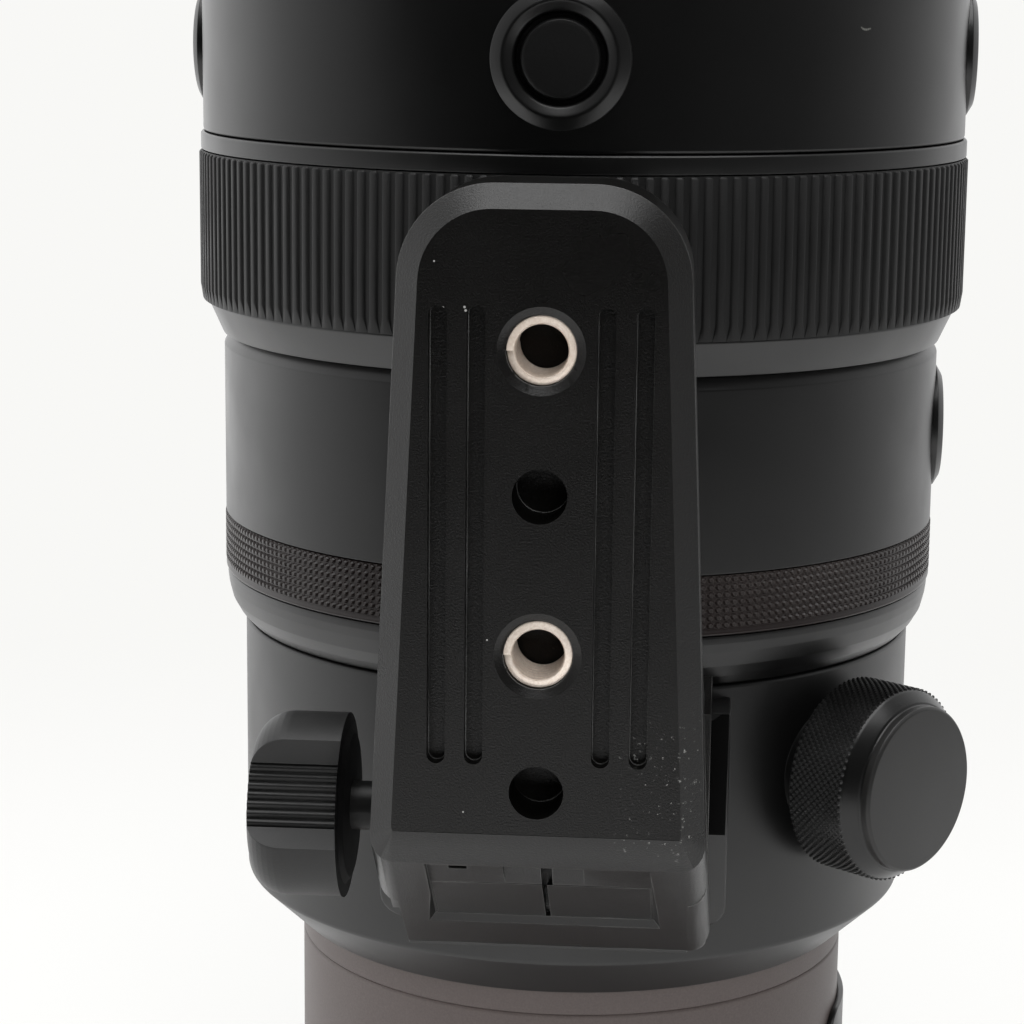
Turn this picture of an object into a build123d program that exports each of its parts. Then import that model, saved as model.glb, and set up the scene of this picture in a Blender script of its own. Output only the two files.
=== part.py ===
from build123d import *
import math
import os

# A long camera lens, standing upright on its mount end, in millimetres.
# Z runs along the lens axis to the front glass, and z = 0 is the mount's flange plane.
# The tripod foot points to -Y, and a bearing is measured round Z from -Y towards +X.

os.makedirs("parts", exist_ok=True)


# Outside radii: the front barrel's, and the steps from it to the others
front_barrel_r = 52.4
filter_rim_step = 0.5
zoom_grip_step = 0.6
mid_barrel_step = 2.6
control_ring_step = 0.1
flare_step = 0.2
flare_drop = 2.8
collar_step = 0.3
rear_barrel_step = 7.95

filter_rim_r = front_barrel_r + filter_rim_step
zoom_grip_r = front_barrel_r + zoom_grip_step
mid_barrel_r = front_barrel_r - mid_barrel_step
control_ring_r = mid_barrel_r + control_ring_step
flare_front_r = mid_barrel_r - flare_step
flare_rear_r = flare_front_r - flare_drop
collar_r = flare_rear_r + collar_step
rear_barrel_r = collar_r - rear_barrel_step

# Lengths along the axis, from the flange to the front
flange_thick = 3.0
rear_barrel_length = 44.1
base_neck_length = 3.7
collar_length = 43.0
flare_length = 7.0
control_ring_length = 7.8
mid_barrel_length = 25.0
zoom_ring_length = 27.4
front_barrel_length = 106.0
filter_rim_length = 10.0

# Clearances
seam_gap = 0.15
running_gap = 0.05
seat_gap = 0.02
free_gap = 0.4
cut_over = 2.0
full_angle = 360

# Walls
shell_wall = 1.8
barrel_wall = 2.6
journal_wall = 2.0

# Heights of the seams
neck_z = flange_thick + rear_barrel_length
collar_z = neck_z + base_neck_length
collar_top_z = collar_z + collar_length
flare_z = collar_top_z + seam_gap
flare_top_z = flare_z + flare_length
control_z = flare_top_z + seam_gap
control_top_z = control_z + control_ring_length
mid_z = control_top_z + seam_gap
mid_top_z = mid_z + mid_barrel_length
zoom_z = mid_top_z + seam_gap
zoom_top_z = zoom_z + zoom_ring_length
front_z = zoom_top_z + seam_gap
front_top_z = front_z + front_barrel_length
rim_top_z = front_top_z + filter_rim_length


# Tools for shapes
def turned(points, arc=full_angle):
    """A ring turned about the axis from an outline of (radius, height) points."""
    outline = Plane.XZ * make_face(Polyline(*points, close=True))
    return revolve(outline, axis=Axis.Z, revolution_arc=arc)


def ring(outer, inner, low, high, arc=full_angle):
    return turned([(inner, low), (outer, low), (outer, high), (inner, high)], arc)


def sector(outer, inner, low, high, arc, bearing):
    """A stretch of ring, centred on a bearing."""
    return Rot(0, 0, bearing - 90 - arc / 2) * ring(outer, inner, low, high, arc)


def wall_plane(bearing, radius, height):
    """A plane that faces outwards: local x runs round the lens and local y along it."""
    b = math.radians(bearing)
    return Plane(
        origin=(radius * math.sin(b), -radius * math.cos(b), height),
        x_dir=(math.cos(b), math.sin(b), 0),
        z_dir=(math.sin(b), -math.cos(b), 0),
    )


def beside(plane, x, y):
    """The same plane with its origin moved along its own x and y."""
    return Plane(plane * Pos(x, y, 0))


def peg(plane, radius, start, end):
    return extrude(plane.offset(start) * Circle(radius), end - start)


def block(plane, width, height, start, end):
    return extrude(plane.offset(start) * Rectangle(width, height), end - start)


def pill(plane, width, height, corner, start, end):
    return extrude(plane.offset(start) * RectangleRounded(width, height, corner), end - start)


def lens_blank(radius, low, high, low_sag, high_sag):
    """A glass element: its rim runs from low to high, and each sag is the bulge of a face."""
    def arc_middle(rim, sag):
        sphere = (radius**2 + sag**2) / (2 * abs(sag))
        half_sag = sphere - math.sqrt(sphere**2 - radius**2 / 4)
        return rim + sag - math.copysign(half_sag, sag)

    lower = ThreePointArc((0, low - low_sag), (radius / 2, arc_middle(low, -low_sag)), (radius, low))
    upper = ThreePointArc((radius, high), (radius / 2, arc_middle(high, high_sag)), (0, high + high_sag))
    outline = lower + Line((radius, low), (radius, high)) + upper
    outline += Line((0, high + high_sag), (0, low - low_sag))
    return revolve(Plane.XZ * make_face(outline), axis=Axis.Z)


def glass_rise(radius, sag, at):
    """How far a bulging face stands above its rim at a smaller radius."""
    sphere = (radius**2 + sag**2) / (2 * sag)
    return math.sqrt(sphere**2 - at**2) - math.sqrt(sphere**2 - radius**2)


def save(name, shape):
    export_step(shape, f"parts/{name}.step")
    print(name, "saved")


# Mount end: a bayonet ring, its screws, a dust lip and the contacts
flange_r = 32.5
throat_r = 24.0
bayonet_r = 26.2
bayonet_depth = 5.6
lug_r = 27.7
lug_height = 1.9
lug_count = 3
lug_arc_angle = 52
lug_bearing = 20
mount_screw_circle_r = 29.6
mount_screw_count = 4
mount_screw_r = 0.95
mount_screw_head_r = 1.8
mount_screw_head_height = 1.2
mount_screw_length = 4.6
lock_hole_r = 1.7
lock_hole_bearing = -70


def mount_screw_bearings():
    return [45 + k * full_angle / mount_screw_count for k in range(mount_screw_count)]


def bayonet_mount():
    body = turned([
        (throat_r, -bayonet_depth),
        (bayonet_r, -bayonet_depth),
        (bayonet_r, 0),
        (flange_r, 0),
        (flange_r, flange_thick),
        (throat_r, flange_thick),
    ])
    root_r = (throat_r + bayonet_r) / 2
    for k in range(lug_count):
        bearing = lug_bearing + k * full_angle / lug_count
        body += sector(lug_r, root_r, -bayonet_depth, lug_height - bayonet_depth, lug_arc_angle, bearing)
    for bearing in mount_screw_bearings():
        hole = Plane(wall_plane(bearing, mount_screw_circle_r, 0).origin)
        body -= peg(hole, mount_screw_r + running_gap, -cut_over, flange_thick + cut_over)
        body -= peg(hole, mount_screw_head_r + running_gap, -cut_over, mount_screw_head_height)
    notch = Plane(wall_plane(lock_hole_bearing, mount_screw_circle_r, 0).origin)
    return body - peg(notch, lock_hole_r, -cut_over, flange_thick / 2)


def mount_screws():
    screws = Part()
    for bearing in mount_screw_bearings():
        place = Plane(wall_plane(bearing, mount_screw_circle_r, 0).origin)
        screws += peg(place, mount_screw_head_r, 0, mount_screw_head_height)
        screws += peg(place, mount_screw_r, mount_screw_head_height, mount_screw_length)
    return screws


dust_lip_thick = 1.1
dust_lip_drop = 0.7


def mount_gasket():
    inner = flange_r + seat_gap
    outer = inner + dust_lip_thick
    return turned([
        (inner, flange_thick),
        (inner, 0),
        (inner + dust_lip_thick / 2, -dust_lip_drop),
        (outer, -dust_lip_drop),
        (outer, flange_thick),
    ])


contact_inner_r = 19.6
contact_arc_angle = 74
contact_bearing = 180
contact_top_z = -0.3
contact_depth = 3.9
contact_pin_count = 11
contact_pin_r = 0.65
contact_pin_length = 1.4
contact_pin_proud = 0.5
contact_pin_arc_angle = 60


def contact_pin_places():
    middle_r = (contact_inner_r + throat_r) / 2
    step = contact_pin_arc_angle / (contact_pin_count - 1)
    first = contact_bearing - contact_pin_arc_angle / 2
    face_z = contact_top_z - contact_depth
    return [Plane(wall_plane(first + k * step, middle_r, face_z).origin) for k in range(contact_pin_count)]


def contact_block():
    outer = throat_r - seat_gap
    body = sector(outer, contact_inner_r, contact_top_z - contact_depth, contact_top_z,
                  contact_arc_angle, contact_bearing)
    for place in contact_pin_places():
        body -= peg(place, contact_pin_r + seat_gap, -cut_over, contact_pin_length - contact_pin_proud)
    return body


def contact_pins():
    pins = Part()
    for place in contact_pin_places():
        pins += peg(place, contact_pin_r, -contact_pin_proud, contact_pin_length - contact_pin_proud)
    return pins


# Rear group: a cell on the mount's inner face with one glass
rear_cell_r = 19.2
rear_cell_wall = 2.2
rear_cell_drop = 2.6
rear_cell_flange_r = 26.0
rear_cell_flange_thick = 2.0
rear_cell_upper_r = 22.4
rear_cell_length = 26.0
rear_glass_thick = 5.0
rear_glass_sag = 1.6


def rear_cell():
    flange_top = flange_thick + rear_cell_flange_thick
    bore = rear_cell_upper_r - rear_cell_wall
    return turned([
        (rear_cell_r - rear_cell_wall, -rear_cell_drop),
        (rear_cell_r, -rear_cell_drop),
        (rear_cell_r, flange_thick),
        (rear_cell_flange_r, flange_thick),
        (rear_cell_flange_r, flange_top),
        (rear_cell_upper_r, flange_top),
        (rear_cell_upper_r, flange_top + rear_cell_length),
        (bore, flange_top + rear_cell_length),
        (bore, flange_top),
        (rear_cell_r - rear_cell_wall, flange_top),
    ])


def rear_element():
    seat_z = flange_thick + rear_cell_flange_thick
    radius = rear_cell_upper_r - rear_cell_wall - seat_gap
    return lens_blank(radius, seat_z, seat_z + rear_glass_thick, -rear_glass_sag, rear_glass_sag)


# Rear barrel with the switch panel on its +X side
rear_end_chamfer = 4.0
rear_end_wall = 3.0
rear_end_hole_r = 27.0
spigot_length = 4.0
panel_rise = 0.95
panel_width = 27.0
panel_height = 33.0
panel_corner = 5.0
panel_drop = 25.6
panel_z = neck_z - panel_drop
panel_bearing = 90
switch_pitch = 14.0
switch_travel = 4.0
switch_stem_width = 3.0
switch_stem_height = 4.6
switch_foot_width = 4.8
switch_foot_height = 6.4
switch_foot_thick = 0.8
switch_head_width = 4.4
switch_head_height = 6.2
switch_head_thick = 1.3
switch_pocket_depth = 1.1


def switch_places():
    top_z = panel_z + switch_pitch / 2
    return [wall_plane(panel_bearing, 0, top_z), wall_plane(panel_bearing, 0, top_z - switch_pitch)]


def rear_barrel():
    inner = rear_barrel_r - shell_wall
    wall_top = flange_thick + rear_end_wall
    body = turned([
        (rear_end_hole_r, flange_thick),
        (rear_barrel_r - rear_end_chamfer, flange_thick),
        (rear_barrel_r, flange_thick + rear_end_chamfer),
        (rear_barrel_r, neck_z),
        (inner, neck_z),
        (inner, wall_top),
        (rear_end_hole_r, wall_top),
    ])
    for bearing in mount_screw_bearings():
        place = Plane(wall_plane(bearing, mount_screw_circle_r, 0).origin)
        body -= peg(place, mount_screw_r + running_gap, flange_thick - cut_over, wall_top + cut_over)
    floor = rear_barrel_r - switch_pocket_depth
    for place in switch_places():
        body -= block(place, switch_foot_width + free_gap, switch_foot_height + switch_travel + free_gap,
                      floor, rear_barrel_r + cut_over)
    return body


def switch_panel():
    shell = ring(rear_barrel_r + panel_rise, rear_barrel_r + seat_gap,
                 panel_z - panel_height, panel_z + panel_height)
    outline = pill(wall_plane(panel_bearing, 0, panel_z), panel_width, panel_height, panel_corner,
                   rear_barrel_r / 2, collar_r)
    body = shell & outline
    for place in switch_places():
        body -= block(place, switch_stem_width + free_gap, switch_stem_height + switch_travel + free_gap,
                      rear_barrel_r / 2, collar_r)
    return body


def switch_knob(place):
    """A slider: a foot in the barrel's pocket, a stem through the panel and a ribbed head."""
    rest = beside(place, 0, -switch_travel / 2)
    foot_r = rear_barrel_r - switch_pocket_depth + running_gap
    head_r = rear_barrel_r + panel_rise + running_gap
    knob = block(rest, switch_foot_width, switch_foot_height, foot_r, foot_r + switch_foot_thick)
    knob += block(rest, switch_stem_width, switch_stem_height, foot_r, head_r + running_gap)
    knob += pill(rest, switch_head_width, switch_head_height, switch_head_width / 4,
                 head_r, head_r + switch_head_thick)
    return knob


# Circuit board behind the mount
board_thick = 1.6
board_inner_r = 28.0


def main_board():
    low = flange_thick + rear_end_wall
    outer = rear_barrel_r - shell_wall - free_gap
    body = ring(outer, board_inner_r, low, low + board_thick)
    for bearing in mount_screw_bearings():
        place = Plane(wall_plane(bearing, mount_screw_circle_r, 0).origin)
        body -= peg(place, mount_screw_head_r, low - cut_over, low + board_thick + cut_over)
    return body


# Base casing: the collar's journal, the web that carries the guide tube, and the flare
journal_depth = 6.1
journal_r = collar_r - journal_depth
journal_step_length = 9.2
web_thick = 3.0
flare_wall = 4.4
guide_tube_depth = 3.5
guide_tube_r = journal_r - guide_tube_depth
retainer_groove_share = 0.5
retainer_width = 1.8
retainer_bite = 1.0
retainer_reach = 1.6
retainer_gap_angle = 10
flare_band_share = 0.14
flare_bend_share = 0.42
flare_belly_share = 0.78
neck_wall = 3.6


def retainer_z():
    return collar_z + collar_length * retainer_groove_share


def base_casing():
    step_z = collar_z + journal_step_length + seam_gap
    spigot_r = rear_barrel_r - shell_wall - running_gap
    neck_inner = rear_barrel_r - neck_wall
    journal_inner = journal_r - journal_wall
    web_z = flare_top_z - web_thick - journal_wall
    groove_low = retainer_z() - seat_gap
    groove_high = retainer_z() + retainer_width + seat_gap
    groove_r = journal_r - retainer_bite - seat_gap
    band_z = flare_top_z - flare_length * flare_band_share
    belly_r = flare_rear_r + (flare_front_r - flare_rear_r) * flare_belly_share
    belly_z = flare_z + flare_length * flare_bend_share
    lower = Polyline(
        (flare_rear_r, flare_z),
        (journal_r, flare_z),
        (journal_r, groove_high),
        (groove_r, groove_high),
        (groove_r, groove_low),
        (journal_r, groove_low),
        (journal_r, step_z),
        (rear_barrel_r, step_z),
        (rear_barrel_r, neck_z),
        (spigot_r, neck_z),
        (spigot_r, neck_z - spigot_length),
        (neck_inner, neck_z - spigot_length),
        (neck_inner, step_z - journal_wall),
        (journal_inner, step_z),
        (journal_inner, web_z),
        (guide_tube_r + running_gap, web_z),
        (guide_tube_r + running_gap, web_z + web_thick),
        (flare_front_r - flare_wall, web_z + web_thick),
        (flare_front_r - flare_wall, flare_top_z),
        (flare_front_r, flare_top_z),
        (flare_front_r, band_z),
    )
    flare = ThreePointArc((flare_front_r, band_z), (belly_r, belly_z), (flare_rear_r, flare_z))
    return revolve(Plane.XZ * make_face(lower + flare), axis=Axis.Z)


def collar_retainer():
    body = ring(journal_r + retainer_reach, journal_r - retainer_bite,
                retainer_z(), retainer_z() + retainer_width, full_angle - retainer_gap_angle)
    return Rot(0, 0, retainer_gap_angle / 2) * body


# Collar: a ring that turns on the journal, with a dovetail rail for the foot
collar_bevel_length = 6.4
collar_lip_gap = 0.35
collar_tail_width = 0.9
collar_lip_r = rear_barrel_r + collar_lip_gap
collar_tail_r = collar_lip_r + collar_tail_width
pedestal_half_width = 22.3
pedestal_length = 30.0
pedestal_drop = 11.4
pedestal_rise = 2.3
pedestal_top = collar_r + pedestal_rise
pedestal_corner = 5.0
rail_waist_half = 14.5
rail_half_width = 17.6
rail_neck = 1.2
rail_flank = 3.1
rail_land = 1.0
lock_bearing = 50
lock_rise = 17.8
lock_boss_r = 9.0
lock_boss_rise = 1.8
lock_boss_top = collar_r + lock_boss_rise
shoe_pocket_r = 5.0
shoe_pocket_depth = 4.0
lock_screw_r = 3.0
stop_groove_width = 4.4
stop_groove_depth = 1.8
stop_groove_margin = 3.0
foot_travel = 20.0

pedestal_z = collar_z + pedestal_drop
pedestal_top_z = pedestal_z + pedestal_length
lock_z = pedestal_z + lock_rise
rail_top = pedestal_top + rail_neck + rail_flank + rail_land


def rail_outline(grow):
    """The dovetail's section as (x, distance from the axis) points, grown all round."""
    waist = rail_waist_half + grow
    wide = rail_half_width + grow
    neck = pedestal_top + rail_neck - grow
    flank = pedestal_top + rail_neck + rail_flank - grow / 2
    top = rail_top + grow
    half = [(waist, pedestal_top - grow), (waist, neck), (wide, flank), (wide, top)]
    return half + [(-x, d) for x, d in reversed(half)]


def across(points, low, high):
    """Extrude an outline of (x, distance) points along the axis, on the foot's side."""
    outline = make_face(Polyline(*[(x, -d) for x, d in points], close=True))
    return extrude(Plane((0, 0, low)) * outline, high - low)


def lock_plane():
    return wall_plane(lock_bearing, 0, lock_z)


def collar_bore():
    """The space inside the collar: its lip, its journal and the retainer's groove."""
    bore = journal_r + running_gap
    groove = journal_r + retainer_reach + free_gap
    lip_top = collar_z + journal_step_length
    return turned([
        (0, collar_z - cut_over),
        (collar_lip_r, collar_z - cut_over),
        (collar_lip_r, lip_top),
        (bore, lip_top),
        (bore, retainer_z() - free_gap),
        (groove, retainer_z() - free_gap),
        (groove, retainer_z() + retainer_width + free_gap),
        (bore, retainer_z() + retainer_width + free_gap),
        (bore, collar_top_z + cut_over),
        (0, collar_top_z + cut_over),
    ])


def collar_ring():
    edge = seam_gap * 2
    body = turned([
        (0, collar_z),
        (collar_tail_r, collar_z),
        (collar_r, collar_z + collar_bevel_length),
        (collar_r, collar_top_z - edge),
        (collar_r - edge, collar_top_z),
        (0, collar_top_z),
    ])
    foot_side = wall_plane(0, 0, pedestal_z + pedestal_length / 2)
    body += pill(foot_side, 2 * pedestal_half_width, pedestal_length, pedestal_corner,
                 journal_r - journal_wall, pedestal_top)
    body += across(rail_outline(0), pedestal_z, pedestal_top_z)
    body += peg(lock_plane(), lock_boss_r, journal_r, lock_boss_top)
    body -= collar_bore()
    shoe_top = journal_r + running_gap + shoe_pocket_depth
    body -= peg(lock_plane(), shoe_pocket_r, journal_r / 2, shoe_top)
    body -= peg(lock_plane(), lock_screw_r + running_gap, shoe_top - cut_over, lock_boss_top + cut_over)
    groove_top = pedestal_top_z - stop_groove_margin
    groove_length = foot_travel + stop_groove_width + running_gap
    groove = Plane((0, -rail_top, groove_top - groove_length / 2), x_dir=(1, 0, 0), z_dir=(0, -1, 0))
    return body - extrude(groove * SlotOverall(groove_length, stop_groove_width, rotation=90),
                          -stop_groove_depth)


# Collar lock: a knurled knob on a screw that presses a brake shoe on the journal
knob_gap = 0.6
lock_knob_r = 12.7
lock_knob_grip = 8.6
lock_knob_edge = 0.6
lock_shoulder_length = 1.6
lock_shoulder_r = 11.5
lock_groove_r = 10.5
lock_groove_width = 0.5
lock_face_r = 10.9
lock_face_height = 1.1
lock_face_edge = 0.3
lock_screw_bite = 7.0
shoe_length = 3.0
shoe_travel = 0.4
shoe_gap = 0.1


def lock_knob_base():
    return lock_boss_top + knob_gap


def lock_knob():
    grip = lock_knob_grip
    shoulder = grip + lock_shoulder_length
    groove = shoulder + lock_groove_width
    top = groove + lock_face_height
    profile = turned([
        (0, 0),
        (lock_knob_r - lock_knob_edge, 0),
        (lock_knob_r, lock_knob_edge),
        (lock_knob_r, grip),
        (lock_shoulder_r, shoulder),
        (lock_groove_r, shoulder),
        (lock_groove_r, groove),
        (lock_face_r, groove),
        (lock_face_r, top - lock_face_edge),
        (lock_face_r - lock_face_edge, top),
        (0, top),
    ])
    knob = lock_plane().offset(lock_knob_base()) * profile
    return knob - peg(lock_plane(), lock_screw_r + seat_gap, lock_knob_base() - cut_over,
                      lock_knob_base() + lock_screw_bite + seat_gap)


def lock_screw():
    tip = journal_r + running_gap + shoe_gap + shoe_length + shoe_travel + running_gap
    return peg(lock_plane(), lock_screw_r, tip, lock_knob_base() + lock_screw_bite)


def brake_shoe():
    body = peg(lock_plane(), shoe_pocket_r - shoe_gap, journal_r / 2,
               journal_r + running_gap + shoe_gap + shoe_length)
    reach = journal_r + running_gap
    return body - ring(reach, 0, collar_z, collar_top_z)


# Tripod foot: a long plate on a neck that grips the collar's dovetail
foot_height = 25.3
foot_face = rail_top + foot_height
foot_plate_thick = 13.5
foot_front_half = 16.5
foot_rear_half = 19.6
foot_front_drop = 1.6
foot_front_z = zoom_top_z - foot_front_drop
foot_rear_rise = 20.3
foot_rear_z = pedestal_z + foot_rear_rise
foot_corner_r = 11.0
foot_bevel = 2.5
foot_neck_rise = 4.8
foot_neck_top_z = pedestal_top_z + foot_neck_rise
foot_neck_blend = 9.0
foot_tail_rise = 0.4
foot_tail_z = pedestal_z + foot_tail_rise
foot_lip_half = 21.0
foot_lip_depth = 3.9
neck_half_width = 17.6
groove_width = 2.1
groove_depth = 1.4
groove_length = 53.0
groove_drop = 13.5
groove_top_z = foot_front_z - groove_drop
groove_offset_shares = [-0.97, -0.61, 0.61, 0.97]
groove_spread = 12.0
insert_drop = 53.5
insert_z = foot_front_z - insert_drop
insert_pitch = 35.0
insert_r = 4.0
insert_bore_r = 2.6
insert_length = 9.0
insert_sink = 0.3
insert_chamfer = 0.5
pin_hole_r = 3.15
pin_hole_depth = 7.0
pin_hole_rise = 7.8
pin_hole_low_z = foot_rear_z + pin_hole_rise
pin_hole_drop = 35.0
pin_hole_high_z = foot_front_z - pin_hole_drop
clamp_rise = 19.8
clamp_z = pedestal_z + clamp_rise
clamp_lift = 5.6
clamp_axis = rail_top + clamp_lift
clamp_screw_r = 3.0
clamp_hole_depth = 11.0
window_half_width = 13.8
window_top_rise = 20.8
window_top = rail_top + window_top_rise
window_bottom_rise = 7.8
window_bottom = rail_top + window_bottom_rise
window_depth = 1.8

lip_base = pedestal_top + free_gap
plate_inner = foot_face - foot_plate_thick
latch_z = pedestal_top_z - stop_groove_margin - stop_groove_width / 2


def rear_slope_z(distance):
    """Height of the foot's sloping rear end at a distance from the axis."""
    share = (foot_face - distance) / (foot_face - rail_top)
    return foot_rear_z + (foot_tail_z - foot_rear_z) * share


def foot_outline():
    """The foot's plan: rounded at the front and a little wider at the rear."""
    outline = make_face(Polyline(
        (-foot_front_half, foot_front_z),
        (-foot_rear_half, foot_tail_z - foot_bevel),
        (foot_rear_half, foot_tail_z - foot_bevel),
        (foot_front_half, foot_front_z),
        close=True,
    ))
    return fillet(outline.vertices().group_by(Axis.Y)[-1], foot_corner_r)


def foot_side(base):
    """The foot's side view, from its face down to a base: plate, neck and sloping rear end."""
    points = [
        (foot_face, foot_front_z),
        (plate_inner, foot_front_z),
        (plate_inner, foot_neck_top_z + foot_neck_blend),
        (plate_inner - foot_neck_blend, foot_neck_top_z),
        (base, foot_neck_top_z),
    ]
    if base < rail_top:
        points.append((base, foot_tail_z))
    slope_start = max(base, rail_top)
    points.append((slope_start, rear_slope_z(slope_start)))
    points.append((foot_face, foot_rear_z))
    return side_slab(points, foot_rear_half + foot_lip_half)


def foot_lip():
    """The fixed side of the dovetail, outside the rail's +X flank."""
    inner = rail_outline(running_gap)[1:4]
    outline = [
        (foot_lip_half, lip_base + foot_lip_depth),
        (foot_lip_half, lip_base),
        (inner[0][0], lip_base),
        inner[0],
        inner[1],
        inner[2],
        (inner[2][0], plate_inner + foot_bevel),
        (foot_lip_half, plate_inner + foot_bevel),
    ]
    return across(outline, foot_tail_z, foot_neck_top_z) & foot_side(lip_base)


def face_plane(z):
    return wall_plane(0, foot_face, z)


def tripod_foot():
    plan = extrude(Plane.XZ.offset(rail_top) * foot_outline(), foot_face - rail_top)
    body = plan & foot_side(rail_top + running_gap)
    rim = body.faces().sort_by(Axis.Y)[0].edges()
    body = chamfer(rim, foot_bevel)
    jaw_side = foot_lip_half + cut_over
    jaw_room = [(-neck_half_width, rail_top - cut_over), (-neck_half_width, plate_inner),
                (-jaw_side, plate_inner), (-jaw_side, rail_top - cut_over)]
    body -= across(jaw_room, foot_tail_z - cut_over, foot_neck_top_z + foot_neck_blend + cut_over)
    body += foot_lip()
    for share in groove_offset_shares:
        place = face_plane(groove_top_z - groove_length / 2) * Pos(share * groove_spread, 0, 0)
        body -= extrude(place * SlotOverall(groove_length, groove_width, rotation=90), -groove_depth)
    for k in range(2):
        body -= peg(face_plane(insert_z + k * insert_pitch), insert_r + seat_gap,
                    -insert_length - insert_sink, cut_over)
    for z in (pin_hole_low_z, pin_hole_high_z):
        body -= peg(face_plane(z), pin_hole_r, -pin_hole_depth, cut_over)
    side = Plane((-neck_half_width, -clamp_axis, clamp_z), x_dir=(0, 1, 0), z_dir=(1, 0, 0))
    body -= peg(side, clamp_screw_r + running_gap, -cut_over, clamp_hole_depth)
    window_mid = (window_top + window_bottom) / 2
    window_run = (window_top - window_bottom) * slope_stretch()
    place = slope_plane(window_mid)
    body -= pill(place, 2 * window_half_width, window_run, groove_width / 2, -window_depth, cut_over)
    return body - latch_channel()


def slope_stretch():
    return math.hypot(foot_face - rail_top, foot_rear_z - foot_tail_z) / (foot_face - rail_top)


def slope_plane(distance):
    """A plane on the sloping rear end, facing out of it."""
    return Plane((0, -distance, rear_slope_z(distance)), x_dir=(1, 0, 0),
                 z_dir=(0, -(foot_rear_z - foot_tail_z), -(foot_face - rail_top)))


# Safety latch: a spring-loaded plate in the foot's rear window, with a pin in the rail's groove
latch_width = 20.0
latch_arm_width = 9.0
latch_arm_thick = 2.4
latch_pin_r = 2.0
latch_travel = 1.9
latch_lift = 0.3
latch_low_rise = 8.1
latch_low = rail_top + latch_low_rise
latch_high_rise = 13.9
latch_high = rail_top + latch_high_rise
latch_recess = 0.5
latch_slot_width = 9.5
latch_slot_height = 1.3
latch_slit_width = 0.7
latch_eye = 1.5
latch_tail_depth = 4.5


def latch_base():
    return rail_top + running_gap + latch_lift


def latch_back():
    return rear_slope_z(latch_high) + latch_tail_depth


def side_slab(points, half_width):
    """Extrude a side view of (distance from the axis, height) points, both ways along X."""
    outline = make_face(Polyline(*[(-d, z) for d, z in points], close=True))
    return extrude(Plane.YZ * outline, half_width, both=True)


def latch_channel():
    """Room in the foot for the latch and its travel."""
    gap = free_gap / 2
    top = latch_high + latch_travel + gap
    back = latch_back() + gap
    front = latch_z + latch_pin_r + gap
    limb = latch_back() - latch_arm_thick - gap
    arm_top = latch_base() + latch_arm_thick + latch_travel + gap
    pad = side_slab([
        (latch_low - gap, rear_slope_z(latch_low) - cut_over),
        (top, rear_slope_z(top) - cut_over),
        (top, back),
        (latch_low - gap, back),
    ], latch_width / 2 + gap)
    arm = side_slab([
        (rail_top - cut_over, limb),
        (latch_low, limb),
        (latch_low, back),
        (arm_top, back),
        (arm_top, front),
        (rail_top - cut_over, front),
    ], latch_arm_width / 2 + gap)
    return pad + arm


def release_latch():
    sink = window_depth + latch_recess
    low = latch_base()
    back = latch_back()
    limb = back - latch_arm_thick
    body = side_slab([
        (latch_low, rear_slope_z(latch_low) + sink),
        (latch_high, rear_slope_z(latch_high) + sink),
        (latch_high, back),
        (latch_low, back),
    ], latch_width / 2)
    body += side_slab([
        (low, limb),
        (latch_high, limb),
        (latch_high, back),
        (low + latch_arm_thick, back),
        (low + latch_arm_thick, latch_z + latch_pin_r),
        (low, latch_z + latch_pin_r),
    ], latch_arm_width / 2)
    body += peg(wall_plane(0, 0, latch_z), latch_pin_r, rail_top - stop_groove_depth + latch_lift,
                low + latch_arm_thick / 2)
    face = slope_plane((latch_low + latch_high) / 2)
    high_row = beside(face, 0, latch_slot_height)
    body -= block(high_row, latch_slot_width, latch_slot_height, -sink, cut_over)
    body -= block(high_row, latch_eye, latch_eye, -sink - latch_recess, cut_over)
    low_row = beside(face, 0, -latch_slot_height)
    return body - block(low_row, latch_slit_width, latch_high - latch_low, -sink, cut_over)


def foot_inserts():
    inserts = Part()
    for k in range(2):
        place = face_plane(insert_z + k * insert_pitch)
        sleeve = peg(place, insert_r, -insert_length - insert_sink + seat_gap, -insert_sink)
        sleeve -= peg(place, insert_bore_r, -insert_length - cut_over, cut_over)
        sleeve -= place * Pos(0, 0, -insert_sink - insert_chamfer / 2) * Cone(
            insert_bore_r, insert_bore_r + insert_chamfer, insert_chamfer)
        inserts += sleeve
    return inserts


# Foot clamp: a jaw on the -X flank of the rail, drawn in by a thumb screw
jaw_outer = 21.2
jaw_travel = 1.5
jaw_inset = 0.5
clamp_knob_r = 11.4
clamp_flange_thick = 2.7
clamp_flange_r = 10.4
clamp_grip_length = 11.5
clamp_knob_start = 22.9
clamp_dome = 4.6
clamp_hollow_count = 3
clamp_hollow_floor = 7.4
clamp_floor_half = 4.3
clamp_mouth_half = 11.0
clamp_rest_angle = 17
clamp_flute_count = 5
clamp_flute_pitch = 1.4
clamp_flute_r = 0.65


def clamp_plane(start):
    """A plane on the clamp screw's axis that faces -X, with local x towards the foot's face."""
    return Plane((-start, -clamp_axis, clamp_z), x_dir=(0, -1, 0), z_dir=(-1, 0, 0))


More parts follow.
